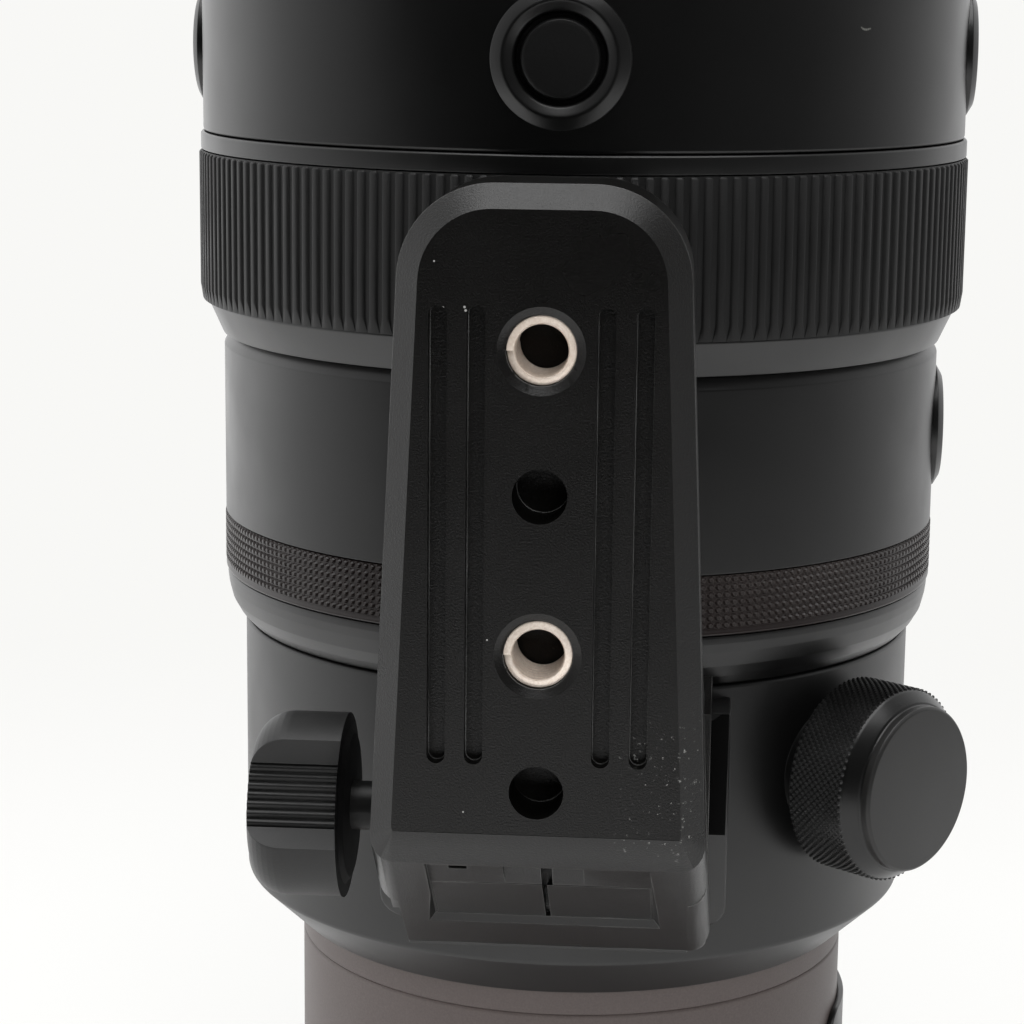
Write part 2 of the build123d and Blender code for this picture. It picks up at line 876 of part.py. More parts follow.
def clamp_jaw():
    inner = rail_outline(running_gap)[1:4]
    outline = [
        (-jaw_outer, lip_base),
        (-inner[0][0], lip_base),
        (-inner[0][0], inner[0][1]),
        (-inner[1][0], inner[1][1]),
        (-inner[2][0] - seat_gap, inner[2][1]),
        (-inner[2][0] - seat_gap, plate_inner - running_gap),
        (-jaw_outer, plate_inner - running_gap),
    ]
    jaw = across(outline, foot_tail_z + foot_bevel + jaw_inset, foot_neck_top_z - jaw_inset)
    slope_room = Plane.YZ * make_face(Polyline(
        (-foot_face, foot_rear_z + jaw_inset),
        (-rail_top + foot_lip_depth * 2, foot_tail_z + jaw_inset),
        (-rail_top + foot_lip_depth * 2, 0),
        (-foot_face, 0),
        close=True,
    ))
    jaw -= extrude(slope_room, foot_lip_half * 2, both=True)
    return jaw - peg(clamp_plane(0), clamp_screw_r + running_gap, 0, jaw_outer + cut_over)


def clamp_screw():
    tip = neck_half_width - clamp_hole_depth + free_gap
    head = clamp_knob_start + clamp_flange_thick + clamp_grip_length / 2
    return peg(clamp_plane(0), clamp_screw_r, tip, head)


def clamp_knob():
    """A domed thumb knob with three hollows, each with a fluted floor."""
    grip_top = clamp_flange_thick + clamp_grip_length
    dome_r = clamp_knob_r - clamp_dome
    straight = Polyline(
        (0, grip_top),
        (0, 0),
        (clamp_flange_r, 0),
        (clamp_flange_r, clamp_flange_thick),
        (clamp_knob_r, clamp_flange_thick),
        (clamp_knob_r, grip_top - clamp_dome),
    )
    turn = CenterArc((dome_r, grip_top - clamp_dome), clamp_dome, 0, 90)
    outline = straight + turn + Line((dome_r, grip_top), (0, grip_top))
    body = revolve(Plane.XZ * make_face(outline), axis=Axis.Z)
    mouth_x = clamp_knob_r + cut_over
    section = make_face(Polyline(
        (clamp_hollow_floor, -clamp_floor_half),
        (clamp_hollow_floor, clamp_floor_half),
        (mouth_x, clamp_mouth_half),
        (mouth_x, -clamp_mouth_half),
        close=True,
    ))
    run = clamp_grip_length + cut_over
    hollow = extrude(Plane((0, 0, clamp_flange_thick)) * section, run)
    for k in range(clamp_flute_count):
        offset = (k - (clamp_flute_count - 1) / 2) * clamp_flute_pitch
        flute = peg(Plane((clamp_hollow_floor, offset, clamp_flange_thick)), clamp_flute_r, 0, run)
        hollow += flute
    for k in range(clamp_hollow_count):
        body -= Rot(0, 0, clamp_rest_angle + k * full_angle / clamp_hollow_count) * hollow
    screw_room = clamp_flange_thick + clamp_grip_length / 2 + seat_gap
    body -= peg(Plane.XY, clamp_screw_r + seat_gap, -cut_over, screw_room)
    return clamp_plane(clamp_knob_start) * body


# Control ring: a narrow ring under the mid barrel, with a fine knurl and a smooth lower lip
control_journal_depth = 2.4
control_journal_r = mid_barrel_r - control_journal_depth
control_lip_share = 0.2
control_lip_step = 0.25
control_journal_wall = 2.2


def control_ring():
    inner = control_journal_r + running_gap
    lip_z = control_z + control_ring_length * control_lip_share
    return turned([
        (inner, control_z),
        (control_ring_r - control_lip_step * 2, control_z),
        (control_ring_r - control_lip_step, lip_z),
        (control_ring_r, lip_z + control_lip_step),
        (control_ring_r, control_top_z - control_lip_step),
        (control_ring_r - control_lip_step, control_top_z),
        (inner, control_top_z),
    ])


# Function buttons: a raised bezel, a sunk floor and a round cap
button_r = 4.85
button_well_r = 7.0
button_bezel_r = 8.5
button_bezel_rise = 0.95
button_bezel_edge = 0.45
button_bezel_width = 1.1
button_well_depth = 1.7
button_proud = 0.65
button_travel = 0.8
button_stem_r = 2.0
button_stem_length = 1.2
button_edge = 0.35
front_button_rise = 11.25
front_button_z = front_z + front_button_rise
front_button_count = 4
mid_button_rise = 12.55
mid_button_z = mid_z + mid_button_rise
mid_button_bearing = 90


def front_button_bearings():
    return [k * full_angle / front_button_count for k in range(front_button_count)]


def button_room(bearing, radius, z):
    """The hole in a barrel for one button: a flat-floored well and a hole for the stem."""
    place = wall_plane(bearing, 0, z)
    floor = radius - button_well_depth
    room = peg(place, button_bezel_r + seat_gap, floor, radius + cut_over)
    return room + peg(place, button_stem_r + running_gap, floor - barrel_wall, floor + cut_over)


def button_bezel(bearing, radius, z):
    place = wall_plane(bearing, 0, z)
    low = radius - button_well_depth
    top = radius + button_bezel_rise
    outline = turned([
        (button_well_r, low),
        (button_bezel_r, low),
        (button_bezel_r, top - button_bezel_edge),
        (button_bezel_r - button_bezel_edge, top),
        (button_bezel_r - button_bezel_width, top),
        (button_well_r, top - button_bezel_edge),
    ])
    return place * outline


def button_cap(bearing, radius, z):
    place = wall_plane(bearing, 0, z)
    low = radius - button_well_depth + button_travel + seam_gap
    top = radius + button_proud
    outline = turned([
        (0, low - button_stem_length - button_travel),
        (button_stem_r, low - button_stem_length - button_travel),
        (button_stem_r, low),
        (button_r, low),
        (button_r, top - button_edge),
        (button_r - button_edge, top),
        (0, top),
    ])
    return place * outline


def button_bezels():
    bezels = button_bezel(mid_button_bearing, mid_barrel_r, mid_button_z)
    for bearing in front_button_bearings():
        bezels += button_bezel(bearing, front_barrel_r, front_button_z)
    return bezels


# Mid barrel: the plain length between the two rings, with a spigot that carries the control ring
mid_chamfer = 1.6
mid_chamfer_share = 0.6


def mid_barrel():
    inner = mid_barrel_r - barrel_wall - journal_wall / 4
    spigot_inner = control_journal_r - control_journal_wall
    body = turned([
        (spigot_inner, flare_top_z),
        (control_journal_r, flare_top_z),
        (control_journal_r, mid_z),
        (mid_barrel_r, mid_z),
        (mid_barrel_r, mid_top_z - mid_chamfer),
        (mid_barrel_r - mid_chamfer * mid_chamfer_share, mid_top_z),
        (inner, mid_top_z),
        (inner, mid_z + journal_wall),
        (spigot_inner, mid_z),
    ])
    return body - button_room(mid_button_bearing, mid_barrel_r, mid_button_z)


# Zoom ring: a sleeve on the front barrel's spigot, with a ribbed rubber grip
zoom_journal_depth = 3.7
zoom_journal_r = front_barrel_r - zoom_journal_depth
zoom_lip_length = 2.5
zoom_lip_step = 0.25
zoom_lip_r = zoom_grip_r - zoom_lip_step
zoom_band_length = 4.8
zoom_band_step = 1.1
zoom_band_r = zoom_grip_r - zoom_band_step
zoom_band_end_step = 2.9
zoom_band_end_r = zoom_grip_r - zoom_band_end_step
grip_bed_step = 2.1
grip_bed_r = zoom_grip_r - grip_bed_step
rib_count = 180
rib_depth = 0.95
rib_top_share = 0.56
grip_bevel = 0.5
grip_taper_length = 2.1
zoom_turn_angle = 70
key_width = 6.0
key_height = 3.2
key_rise = 17.8
key_z = zoom_z + key_rise
key_bearing = 180


def zoom_ring():
    inner = zoom_journal_r + running_gap
    grip_low = zoom_z + zoom_band_length
    grip_high = zoom_top_z - zoom_lip_length
    body = turned([
        (inner, zoom_z),
        (zoom_band_end_r, zoom_z),
        (zoom_band_r, grip_low - seam_gap),
        (grip_bed_r, grip_low - seam_gap),
        (grip_bed_r, grip_high + seam_gap),
        (zoom_lip_r, grip_high + seam_gap),
        (zoom_lip_r, zoom_top_z - seam_gap),
        (zoom_lip_r - seam_gap, zoom_top_z),
        (inner, zoom_top_z),
    ])
    return body - key_bar(seat_gap)


def zoom_grip():
    low = zoom_z + zoom_band_length
    high = zoom_top_z - zoom_lip_length
    valley = zoom_grip_r - rib_depth
    pitch = 2 * math.pi / rib_count
    points = []
    for k in range(rib_count):
        rise = (k + 1 - rib_top_share) * pitch
        fall = (k + 1) * pitch
        for angle, radius in ((k * pitch, valley), (rise, valley), (rise, zoom_grip_r), (fall, zoom_grip_r)):
            points.append((radius * math.cos(angle), radius * math.sin(angle)))
    ribbed = extrude(Plane((0, 0, low)) * make_face(Polyline(*points, close=True)), high - low)
    inner = grip_bed_r + seat_gap
    envelope = turned([
        (inner, low),
        (zoom_band_r, low),
        (zoom_grip_r + seam_gap, low + grip_taper_length),
        (zoom_grip_r + seam_gap, high - grip_bevel),
        (zoom_grip_r - grip_bevel, high),
        (inner, high),
    ])
    return ribbed & envelope


def key_bar(grow):
    """The key that ties the zoom ring to the cam barrel, grown for its pockets."""
    inner = cam_barrel_r - cam_key_bite - grow
    outer = zoom_journal_r + running_gap + key_bite + grow
    return block(wall_plane(key_bearing, 0, key_z), key_width + 2 * grow, key_height + 2 * grow,
                 inner, outer)


# Guide tube and cam barrel: straight slots and helical slots that move the variator
guide_wall = 2.0
guide_flange_step = 5.5
guide_flange_r = guide_tube_r + guide_flange_step
guide_flange_thick = 2.5
guide_low_rise = 11.2
guide_low_z = collar_z + guide_low_rise
guide_top_rise = 6.25
guide_top_z = front_z + guide_top_rise
cam_wall = 2.6
cam_top_rise = 0.25
cam_top_z = front_z + cam_top_rise
cam_key_bite = 1.6
key_bite = 1.4
slot_count = 3
variator_rise = 8.95
variator_z = mid_z + variator_rise
variator_travel = 30.0
roller_r = 1.6
ledge_width = 8.5
ledge_thick = 3.0
rod_r = 1.5
rod_circle_depth = 4.9
rod_bearings = [-60, 120]

web_top_z = flare_top_z - journal_wall
guide_inner_r = guide_tube_r - guide_wall
ledge_inner_r = guide_inner_r - ledge_width
rod_circle_r = guide_inner_r - rod_circle_depth
cam_inner_r = guide_tube_r + running_gap
cam_barrel_r = cam_inner_r + cam_wall
ledge_z = web_top_z - ledge_thick


def slot_bearings():
    return [30 + k * full_angle / slot_count for k in range(slot_count)]


def guide_tube():
    body = turned([
        (guide_inner_r, guide_low_z),
        (guide_tube_r, guide_low_z),
        (guide_tube_r, web_top_z),
        (guide_flange_r, web_top_z),
        (guide_flange_r, web_top_z + guide_flange_thick),
        (guide_tube_r, web_top_z + guide_flange_thick),
        (guide_tube_r, guide_top_z),
        (guide_inner_r, guide_top_z),
        (guide_inner_r, web_top_z),
        (ledge_inner_r, web_top_z),
        (ledge_inner_r, ledge_z),
        (guide_inner_r, ledge_z),
    ])
    for bearing in slot_bearings():
        place = wall_plane(bearing, 0, variator_z + variator_travel / 2)
        slot = SlotOverall(variator_travel + 2 * (roller_r + free_gap), 2 * (roller_r + running_gap),
                           rotation=90)
        body -= extrude(place.offset(guide_inner_r - cut_over) * slot, guide_wall + 2 * cut_over)
    for bearing in rod_bearings:
        place = Plane(wall_plane(bearing, rod_circle_r, 0).origin)
        body -= peg(place, rod_r + seat_gap, ledge_z - cut_over, web_top_z - rod_r / 2)
    return body


def cam_slot():
    """A helical channel: the variator rises by its travel while the barrel turns by the zoom angle."""
    slack = roller_r + free_gap
    slope = variator_travel / zoom_turn_angle
    extra = slack / variator_travel
    height = variator_travel * (1 + 2 * extra)
    middle_r = (cam_inner_r + cam_barrel_r) / 2
    path = Helix(pitch=slope * full_angle, height=height, radius=middle_r, lefthand=True)
    start = Plane(origin=path @ 0, x_dir=(1, 0, 0), z_dir=path % 0)
    section = start * Rectangle(3 * cam_wall, 2 * (roller_r + running_gap))
    channel = sweep(section, path=path, is_frenet=True)
    lead = extra * zoom_turn_angle
    return Pos(0, 0, variator_z - slack) * Rot(0, 0, lead) * channel


def cam_barrel():
    low = web_top_z + guide_flange_thick + seam_gap
    body = ring(cam_barrel_r, cam_inner_r, low, cam_top_z)
    channel = cam_slot()
    for bearing in slot_bearings():
        body -= Rot(0, 0, bearing - 90) * channel
    return body - key_bar(seat_gap)


# Variator: a cell in the guide tube with three rollers
variator_length = 14.0
variator_wall = 6.0
variator_glass_thick = 6.0
variator_sag = 1.8
roller_bite = 3.0


def variator_cell():
    outer = guide_inner_r - running_gap
    low = variator_z - variator_length / 2
    body = turned([
        (outer - variator_wall, low),
        (outer, low),
        (outer, low + variator_length),
        (outer - variator_wall, low + variator_length),
        (outer - variator_wall, low + variator_length / 2),
        (outer - variator_wall - roller_bite / 2, low + variator_length / 2),
        (outer - variator_wall - roller_bite / 2, low + variator_length / 2 - roller_bite / 2),
        (outer - variator_wall, low + variator_length / 2 - roller_bite / 2),
    ])
    for bearing in slot_bearings():
        body -= peg(wall_plane(bearing, 0, variator_z), roller_r + seat_gap, outer - roller_bite - seat_gap,
                    outer + cut_over)
    return body


def variator_lens():
    radius = guide_inner_r - running_gap - variator_wall - seat_gap
    low = variator_z + seat_gap
    return lens_blank(radius, low, low + variator_glass_thick, -variator_sag, -variator_sag)


def variator_rollers():
    rollers = Part()
    inner = guide_inner_r - running_gap - roller_bite
    for bearing in slot_bearings():
        rollers += peg(wall_plane(bearing, 0, variator_z), roller_r, inner, cam_barrel_r - roller_bite / 4)
    return rollers


# Focus group: a cell on two rods, moved by a coil over a magnet
focus_rise = 2.0
focus_z = guide_low_z + focus_rise
focus_length = 11.0
focus_cell_depth = 2.3
focus_cell_r = guide_inner_r - focus_cell_depth
focus_cell_wall = 9.2
focus_inner_r = focus_cell_r - focus_cell_wall
focus_travel = 14.0
focus_glass_thick = 6.0
focus_sag = 2.2
coil_arc_angle = 40
coil_bearing = 30
coil_thick = 0.9
magnet_thick = 1.0


def focus_rods():
    rods = Part()
    for bearing in rod_bearings:
        place = Plane(wall_plane(bearing, rod_circle_r, 0).origin)
        rods += peg(place, rod_r, guide_low_z, web_top_z - rod_r)
    return rods


def focus_cell():
    low = focus_z
    high = focus_z + focus_length
    shelf = focus_length / 4
    body = turned([
        (focus_inner_r, low + shelf),
        (focus_inner_r - shelf, low + shelf),
        (focus_inner_r - shelf, low),
        (focus_cell_r, low),
        (focus_cell_r, high),
        (focus_inner_r, high),
    ])
    for bearing in rod_bearings:
        place = Plane(wall_plane(bearing, rod_circle_r, 0).origin)
        body -= peg(place, rod_r + running_gap, low - cut_over, high + cut_over)
    return body


def focus_lens():
    low = focus_z + focus_length / 4
    return lens_blank(focus_inner_r - seat_gap, low, low + focus_glass_thick, -focus_sag, focus_sag)


def focus_coil():
    inner = focus_cell_r + seat_gap
    return sector(inner + coil_thick, inner, focus_z, focus_z + focus_length, coil_arc_angle, coil_bearing)


def focus_magnet():
    outer = guide_inner_r - seat_gap
    return sector(outer, outer - magnet_thick, guide_low_z, ledge_z - seam_gap, coil_arc_angle, coil_bearing)


# Iris: seven blades on pivots, each on its own level, turned by a slotted ring
blade_count = 7
blade_thick = 0.12
blade_step = 0.18
blade_inner_depth = 14.9
blade_inner_r = guide_inner_r - blade_inner_depth
blade_outer_depth = 8.5
blade_outer_r = guide_inner_r - blade_outer_depth
blade_arc_angle = 78
blade_pivot_depth = 4.3
blade_pivot_r = guide_inner_r - blade_pivot_depth
blade_pad_r = 2.2
blade_pin_r = 0.8
blade_pin_bearing = 12
blade_turn_angle = 28
iris_turn_angle = 24
iris_base_thick = 1.6
iris_hole_depth = 15.5
iris_hole_r = guide_inner_r - iris_hole_depth
iris_ring_thick = 1.6
iris_ring_gap = 0.3
drive_slot_steps = 6

iris_z = web_top_z + seam_gap
blade_z = iris_z + iris_base_thick + seam_gap
blade_top_z = blade_z + blade_count * blade_step
iris_ring_z = blade_top_z + iris_ring_gap


def spot(radius, bearing):
    """A point on the iris, at a bearing turned the way the blades run."""
    angle = math.radians(bearing)
    return (radius * math.cos(angle), radius * math.sin(angle))


def drive_path():
    """Where a blade's drive pin runs, seen from the drive ring."""
    px, py = spot(blade_pivot_r, 0)
    qx, qy = spot(blade_pivot_r, blade_pin_bearing)
    path = []
    for k in range(drive_slot_steps + 1):
        share = k / drive_slot_steps
        b = math.radians(blade_turn_angle * share)
        a = math.radians(iris_turn_angle * share)
        x = px + (qx - px) * math.cos(b) - (qy - py) * math.sin(b)
        y = py + (qx - px) * math.sin(b) + (qy - py) * math.cos(b)
        path.append((x * math.cos(a) + y * math.sin(a), y * math.cos(a) - x * math.sin(a)))
    return path


def iris_base():
    body = ring(guide_inner_r - running_gap, iris_hole_r, iris_z, iris_z + iris_base_thick)
    for k in range(blade_count):
        place = Rot(0, 0, k * full_angle / blade_count) * Pos(*spot(blade_pivot_r, 0), 0)
        body -= place * peg(Plane.XY, blade_pin_r + running_gap, iris_z + seam_gap, blade_z)
    return body


def iris_drive_ring():
    top = iris_ring_z + iris_ring_thick
    body = ring(guide_inner_r - running_gap, iris_hole_r, iris_ring_z, top)
    room = blade_pin_r + running_gap * 2
    path = drive_path()
    slot = Part()
    for start, end in zip(path, path[1:]):
        run = math.hypot(end[0] - start[0], end[1] - start[1])
        turn = math.degrees(math.atan2(end[1] - start[1], end[0] - start[0]))
        middle = Pos((start[0] + end[0]) / 2, (start[1] + end[1]) / 2, 0) * Rot(0, 0, turn)
        slot += middle * extrude(Plane((0, 0, iris_ring_z - cut_over)) * Rectangle(run, 2 * room),
                                 iris_ring_thick + 2 * cut_over)
    for point in path:
        slot += Pos(*point, 0) * peg(Plane.XY, room, iris_ring_z - cut_over, top + cut_over)
    for k in range(blade_count):
        body -= Rot(0, 0, k * full_angle / blade_count) * slot
    return body


def iris_blade(index):
    level = blade_z + index * blade_step
    sheet = Plane((0, 0, level))
    band = ring(blade_outer_r, blade_inner_r, level, level + blade_thick, blade_arc_angle)
    pivot = spot(blade_pivot_r, 0)
    driver = spot(blade_pivot_r, blade_pin_bearing)
    web = make_face(Polyline(
        spot(blade_inner_r, 0),
        pivot,
        driver,
        spot(blade_outer_r - blade_pad_r / 2, 2 * blade_pin_bearing),
        close=True,
    ))
    plate = band + extrude(sheet * web, blade_thick)
    for point in (pivot, driver):
        plate += Pos(*point, 0) * peg(Plane.XY, blade_pad_r, level, level + blade_thick)
    plate += Pos(*pivot, 0) * peg(Plane.XY, blade_pin_r, iris_z + 2 * seam_gap, level + blade_thick)
    plate += Pos(*driver, 0) * peg(Plane.XY, blade_pin_r, level, iris_ring_z + iris_ring_thick)
    return Rot(0, 0, index * full_angle / blade_count) * plate


# Front barrel with its spigot, front cell and the ring that takes a filter
front_spigot_wall = 1.9
front_edge = 0.8
key_slot_spare_angle = 6
front_cell_drop = 45.75
front_cell_z = front_top_z - front_cell_drop
front_cell_wall = 3.4
front_cell_length = 45.0
front_glass_drop = 17.75
front_glass_z = front_top_z - front_glass_drop
front_glass_thick = 9.0
front_glass_sag = 3.6
second_glass_rise = 8.0
second_glass_z = front_cell_z + second_glass_rise
second_glass_thick = 7.0
second_glass_sag = 2.4
glass_shelf = 2.0
glass_shelf_thick = 2.0
retainer_ring_height = 4.0
retainer_ring_lip = 2.4
filter_rim_wall = 5.7
filter_thread_r = filter_rim_r - filter_rim_wall
filter_thread_length = 7.0
hood_groove_width = 3.0
hood_groove_depth = 0.9
hood_groove_share = 0.45


def front_barrel():
    spigot_inner = zoom_journal_r - front_spigot_wall
    inner = front_barrel_r - barrel_wall
    seat_r = inner - glass_shelf
    body = turned([
        (spigot_inner, mid_top_z),
        (zoom_journal_r, mid_top_z),
        (zoom_journal_r, front_z),
        (front_barrel_r - seam_gap, front_z),
        (front_barrel_r, front_z + seam_gap),
        (front_barrel_r, front_top_z),
        (inner, front_top_z),
        (inner, front_cell_z),
        (seat_r, front_cell_z),
        (seat_r, front_cell_z - glass_shelf_thick),
        (inner, front_cell_z - glass_shelf_thick),
        (inner, front_z + journal_wall),
        (spigot_inner, front_z),
    ])
    for bearing in front_button_bearings():
        body -= button_room(bearing, front_barrel_r, front_button_z)
    swing = zoom_turn_angle + key_slot_spare_angle + math.degrees(key_width / spigot_inner)
    start = key_bearing - 90 - key_slot_spare_angle / 2 - math.degrees(key_width / spigot_inner / 2)
    low = key_z - key_height / 2 - free_gap
    high = low + key_height + 2 * free_gap
    slot = ring(zoom_journal_r + running_gap / 2, spigot_inner - running_gap, low, high, swing)
    return body - Rot(0, 0, start) * slot


def cell_bore():
    return front_barrel_r - barrel_wall - seat_gap - front_cell_wall


def front_cell():
    outer = front_barrel_r - barrel_wall - seat_gap
    bore = cell_bore()
    top = front_cell_z + front_cell_length
    second_bore = bore - glass_shelf
    shelf_r = second_bore - glass_shelf
    shelf_drop = glass_rise(second_bore, second_glass_sag, shelf_r) + seat_gap
    return turned([
        (shelf_r, front_cell_z),
        (outer, front_cell_z),
        (outer, top),
        (bore, top),
        (bore, front_glass_z),
        (second_bore, front_glass_z),
        (second_bore, second_glass_z),
        (shelf_r, second_glass_z - shelf_drop),
    ])


def front_element():
    top = front_glass_z + front_glass_thick
    return lens_blank(cell_bore() - seat_gap, front_glass_z, top, -front_glass_sag / 2, front_glass_sag)


def second_element():
    radius = cell_bore() - glass_shelf - seat_gap
    top = second_glass_z + second_glass_thick
    return lens_blank(radius, second_glass_z, top, second_glass_sag, second_glass_sag)


def front_retainer():
    outer = cell_bore() - seat_gap
    inner = outer - retainer_ring_lip
    low = front_glass_z + front_glass_thick
    rise = glass_rise(outer, front_glass_sag, inner) + seat_gap
    return turned([
        (inner, low + rise),
        (outer, low + seat_gap),
        (outer, low + retainer_ring_height),
        (inner, low + retainer_ring_height),
    ])


def filter_ring():
    """The front rim: a bore for the filter thread inside and a groove for a hood outside."""
    thread_low = rim_top_z - front_edge - filter_thread_length
    spigot_r = front_barrel_r - barrel_wall - seat_gap
    groove_z = front_top_z + filter_rim_length * hood_groove_share
    lip_r = filter_thread_r - glass_shelf / 2
    cell_top = front_cell_z + front_cell_length
    return turned([
        (lip_r, cell_top + seat_gap),
        (spigot_r, cell_top + seat_gap),
        (spigot_r, front_top_z),
        (filter_rim_r, front_top_z),
        (filter_rim_r, groove_z),
        (filter_rim_r - hood_groove_depth, groove_z),
        (filter_rim_r - hood_groove_depth, groove_z + hood_groove_width),
        (filter_rim_r, groove_z + hood_groove_width),
        (filter_rim_r, rim_top_z - front_edge),
        (filter_rim_r - front_edge, rim_top_z),
        (filter_thread_r + front_edge, rim_top_z),
        (filter_thread_r, rim_top_z - front_edge),
        (filter_thread_r, thread_low),
        (lip_r, thread_low),
    ])


# Write one file for each piece
save("bayonet_mount", bayonet_mount())
save("mount_screws", mount_screws())
save("mount_gasket", mount_gasket())
save("contact_block", contact_block())
save("contact_pins", contact_pins())
save("rear_cell", rear_cell())
save("rear_element", rear_element())
save("rear_barrel", rear_barrel())
save("switch_panel", switch_panel())
save("focus_mode_switch", switch_knob(switch_places()[0]))
save("limiter_switch", switch_knob(switch_places()[1]))
save("main_board", main_board())
save("base_casing", base_casing())
save("collar_retainer", collar_retainer())
save("collar_ring", collar_ring())
save("lock_knob", lock_knob())
save("lock_screw", lock_screw())
save("brake_shoe", brake_shoe())
save("tripod_foot", tripod_foot())
save("foot_inserts", foot_inserts())
save("release_latch", release_latch())
save("clamp_jaw", clamp_jaw())
save("clamp_screw", clamp_screw())
save("clamp_knob", clamp_knob())
save("control_ring", control_ring())
save("mid_barrel", mid_barrel())
save("button_bezels", button_bezels())
save("mid_button", button_cap(mid_button_bearing, mid_barrel_r, mid_button_z))
for index, bearing in enumerate(front_button_bearings()):
    save(f"front_button_{index + 1}", button_cap(bearing, front_barrel_r, front_button_z))
save("zoom_ring", zoom_ring())
save("zoom_grip", zoom_grip())
save("zoom_key", key_bar(0))
save("cam_barrel", cam_barrel())
save("guide_tube", guide_tube())
save("variator_cell", variator_cell())
save("variator_lens", variator_lens())
save("variator_rollers", variator_rollers())
save("focus_cell", focus_cell())
save("focus_lens", focus_lens())
save("focus_coil", focus_coil())
save("focus_rods", focus_rods())
save("focus_magnet", focus_magnet())
save("iris_base", iris_base())
save("iris_drive_ring", iris_drive_ring())
for index in range(blade_count):
    save(f"iris_blade_{index + 1}", iris_blade(index))
save("front_barrel", front_barrel())
save("front_cell", front_cell())
save("front_element", front_element())
save("second_element", second_element())
save("front_retainer", front_retainer())
save("filter_ring", filter_ring())
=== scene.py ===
import math
import bpy
from mathutils import Matrix, Vector


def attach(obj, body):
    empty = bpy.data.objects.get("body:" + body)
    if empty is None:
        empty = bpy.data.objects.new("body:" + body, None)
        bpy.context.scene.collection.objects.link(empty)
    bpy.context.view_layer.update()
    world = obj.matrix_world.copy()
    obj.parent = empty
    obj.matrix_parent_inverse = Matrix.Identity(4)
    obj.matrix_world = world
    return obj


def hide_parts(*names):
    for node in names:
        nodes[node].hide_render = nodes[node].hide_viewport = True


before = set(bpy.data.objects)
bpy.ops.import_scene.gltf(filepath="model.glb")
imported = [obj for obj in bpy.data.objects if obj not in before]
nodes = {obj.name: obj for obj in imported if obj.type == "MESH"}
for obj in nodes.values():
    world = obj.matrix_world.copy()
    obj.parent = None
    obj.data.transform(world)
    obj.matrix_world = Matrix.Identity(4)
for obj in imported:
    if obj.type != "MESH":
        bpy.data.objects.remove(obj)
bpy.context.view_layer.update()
mm = 0.001
fullTurn = 2 * math.pi


# workbench: the few moves that every piece is made with

def clearSelection():
    if bpy.context.object and bpy.context.object.mode != 'OBJECT':
        bpy.ops.object.mode_set(mode='OBJECT')
    bpy.ops.object.select_all(action='DESELECT')


def takeUp(piece):
    clearSelection()
    piece.select_set(True)
    bpy.context.view_layer.objects.active = piece


def named(name):
    piece = bpy.context.object
    piece.name = name
    piece.data.name = name
    return piece


def openAll():
    bpy.ops.object.mode_set(mode='EDIT')
    bpy.ops.mesh.select_all(action='SELECT')


# draws a chain of edges from one vertex, through points in millimetres
def drawLine(name, points, closed=True):
    clearSelection()
    bpy.ops.mesh.primitive_plane_add(size=mm)
    piece = named(name)
    openAll()
    bpy.ops.mesh.merge(type='CENTER')
    here = Vector(points[0]) * mm
    bpy.ops.transform.translate(value=here)
    onward = points[1:] + points[:1] if closed else points[1:]
    for point in onward:
        there = Vector(point) * mm
        bpy.ops.mesh.extrude_vertices_move(TRANSFORM_OT_translate={"value": there - here})
        here = there
    bpy.ops.mesh.select_all(action='SELECT')
    bpy.ops.mesh.remove_doubles(threshold=1e-7)
    return piece


# rounds the corners of an outline before it is drawn
def softened(points, size, only=None):
    result = []
    count = len(points)
    for k, corner in enumerate(points):
        if only is not None and k not in only:
            result.append(tuple(corner))
            continue
        corner = Vector(corner)
        before = Vector(points[k - 1]) - corner
        after = Vector(points[(k + 1) % count]) - corner
        reach = min(size, before.length * 0.45, after.length * 0.45)
        start = corner + before.normalized() * reach
        end = corner + after.normalized() * reach
        steps = 3 if size < 2 else 12
        for s in range(steps + 1):
            t = s / steps
            result.append(tuple(start * (1 - t) ** 2 + corner * 2 * t * (1 - t) + end * t ** 2))
    return result


def closeUp():
    bpy.ops.mesh.select_all(action='SELECT')
    bpy.ops.mesh.remove_doubles(threshold=1e-6)
    bpy.ops.mesh.normals_make_consistent(inside=False)
    bpy.ops.object.mode_set(mode='OBJECT')


def smoothOver(piece, angle=32):
    takeUp(piece)
    bpy.ops.object.shade_smooth_by_angle(angle=math.radians(angle))
    return piece


# shades big flat faces evenly after cuts
def evenShade(piece, angle=32):
    smoothOver(piece, angle)
    weigh = piece.modifiers.new("weigh", 'WEIGHTED_NORMAL')
    weigh.keep_sharp = True
    applyModifier(piece, weigh)
    return piece


# turns an outline of (radius, height) points round the Z axis
def turnOutline(name, outline, soft=0.2, steps=192):
    offAxis = [k for k, (r, z) in enumerate(outline) if r > 0]
    flat = softened(outline, soft, offAxis) if soft else outline
    piece = drawLine(name, [(r, 0, z) for r, z in flat])
    bpy.ops.mesh.spin(steps=steps, angle=fullTurn, center=(0, 0, 0), axis=(0, 0, 1))
    closeUp()
    return smoothOver(piece)


def turnPiece(name, shape):
    return turnOutline(name, shape["outline"], shape["soft"], shape["steps"])


# pulls a flat outline out into a solid along a way in millimetres
def pullOutline(name, points, way):
    piece = drawLine(name, points)
    bpy.ops.mesh.edge_face_add()
    bpy.ops.mesh.extrude_region_move(TRANSFORM_OT_translate={"value": Vector(way) * mm})
    closeUp()
    return piece


def drum(name, radius, low, high, vertices=64, top=None):
    clearSelection()
    bpy.ops.mesh.primitive_cone_add(vertices=vertices, radius1=radius * mm, radius2=(top or radius) * mm,
                                    depth=(high - low) * mm, location=(0, 0, (low + high) / 2 * mm))
    piece = named(name)
    bpy.ops.object.transform_apply()
    return piece


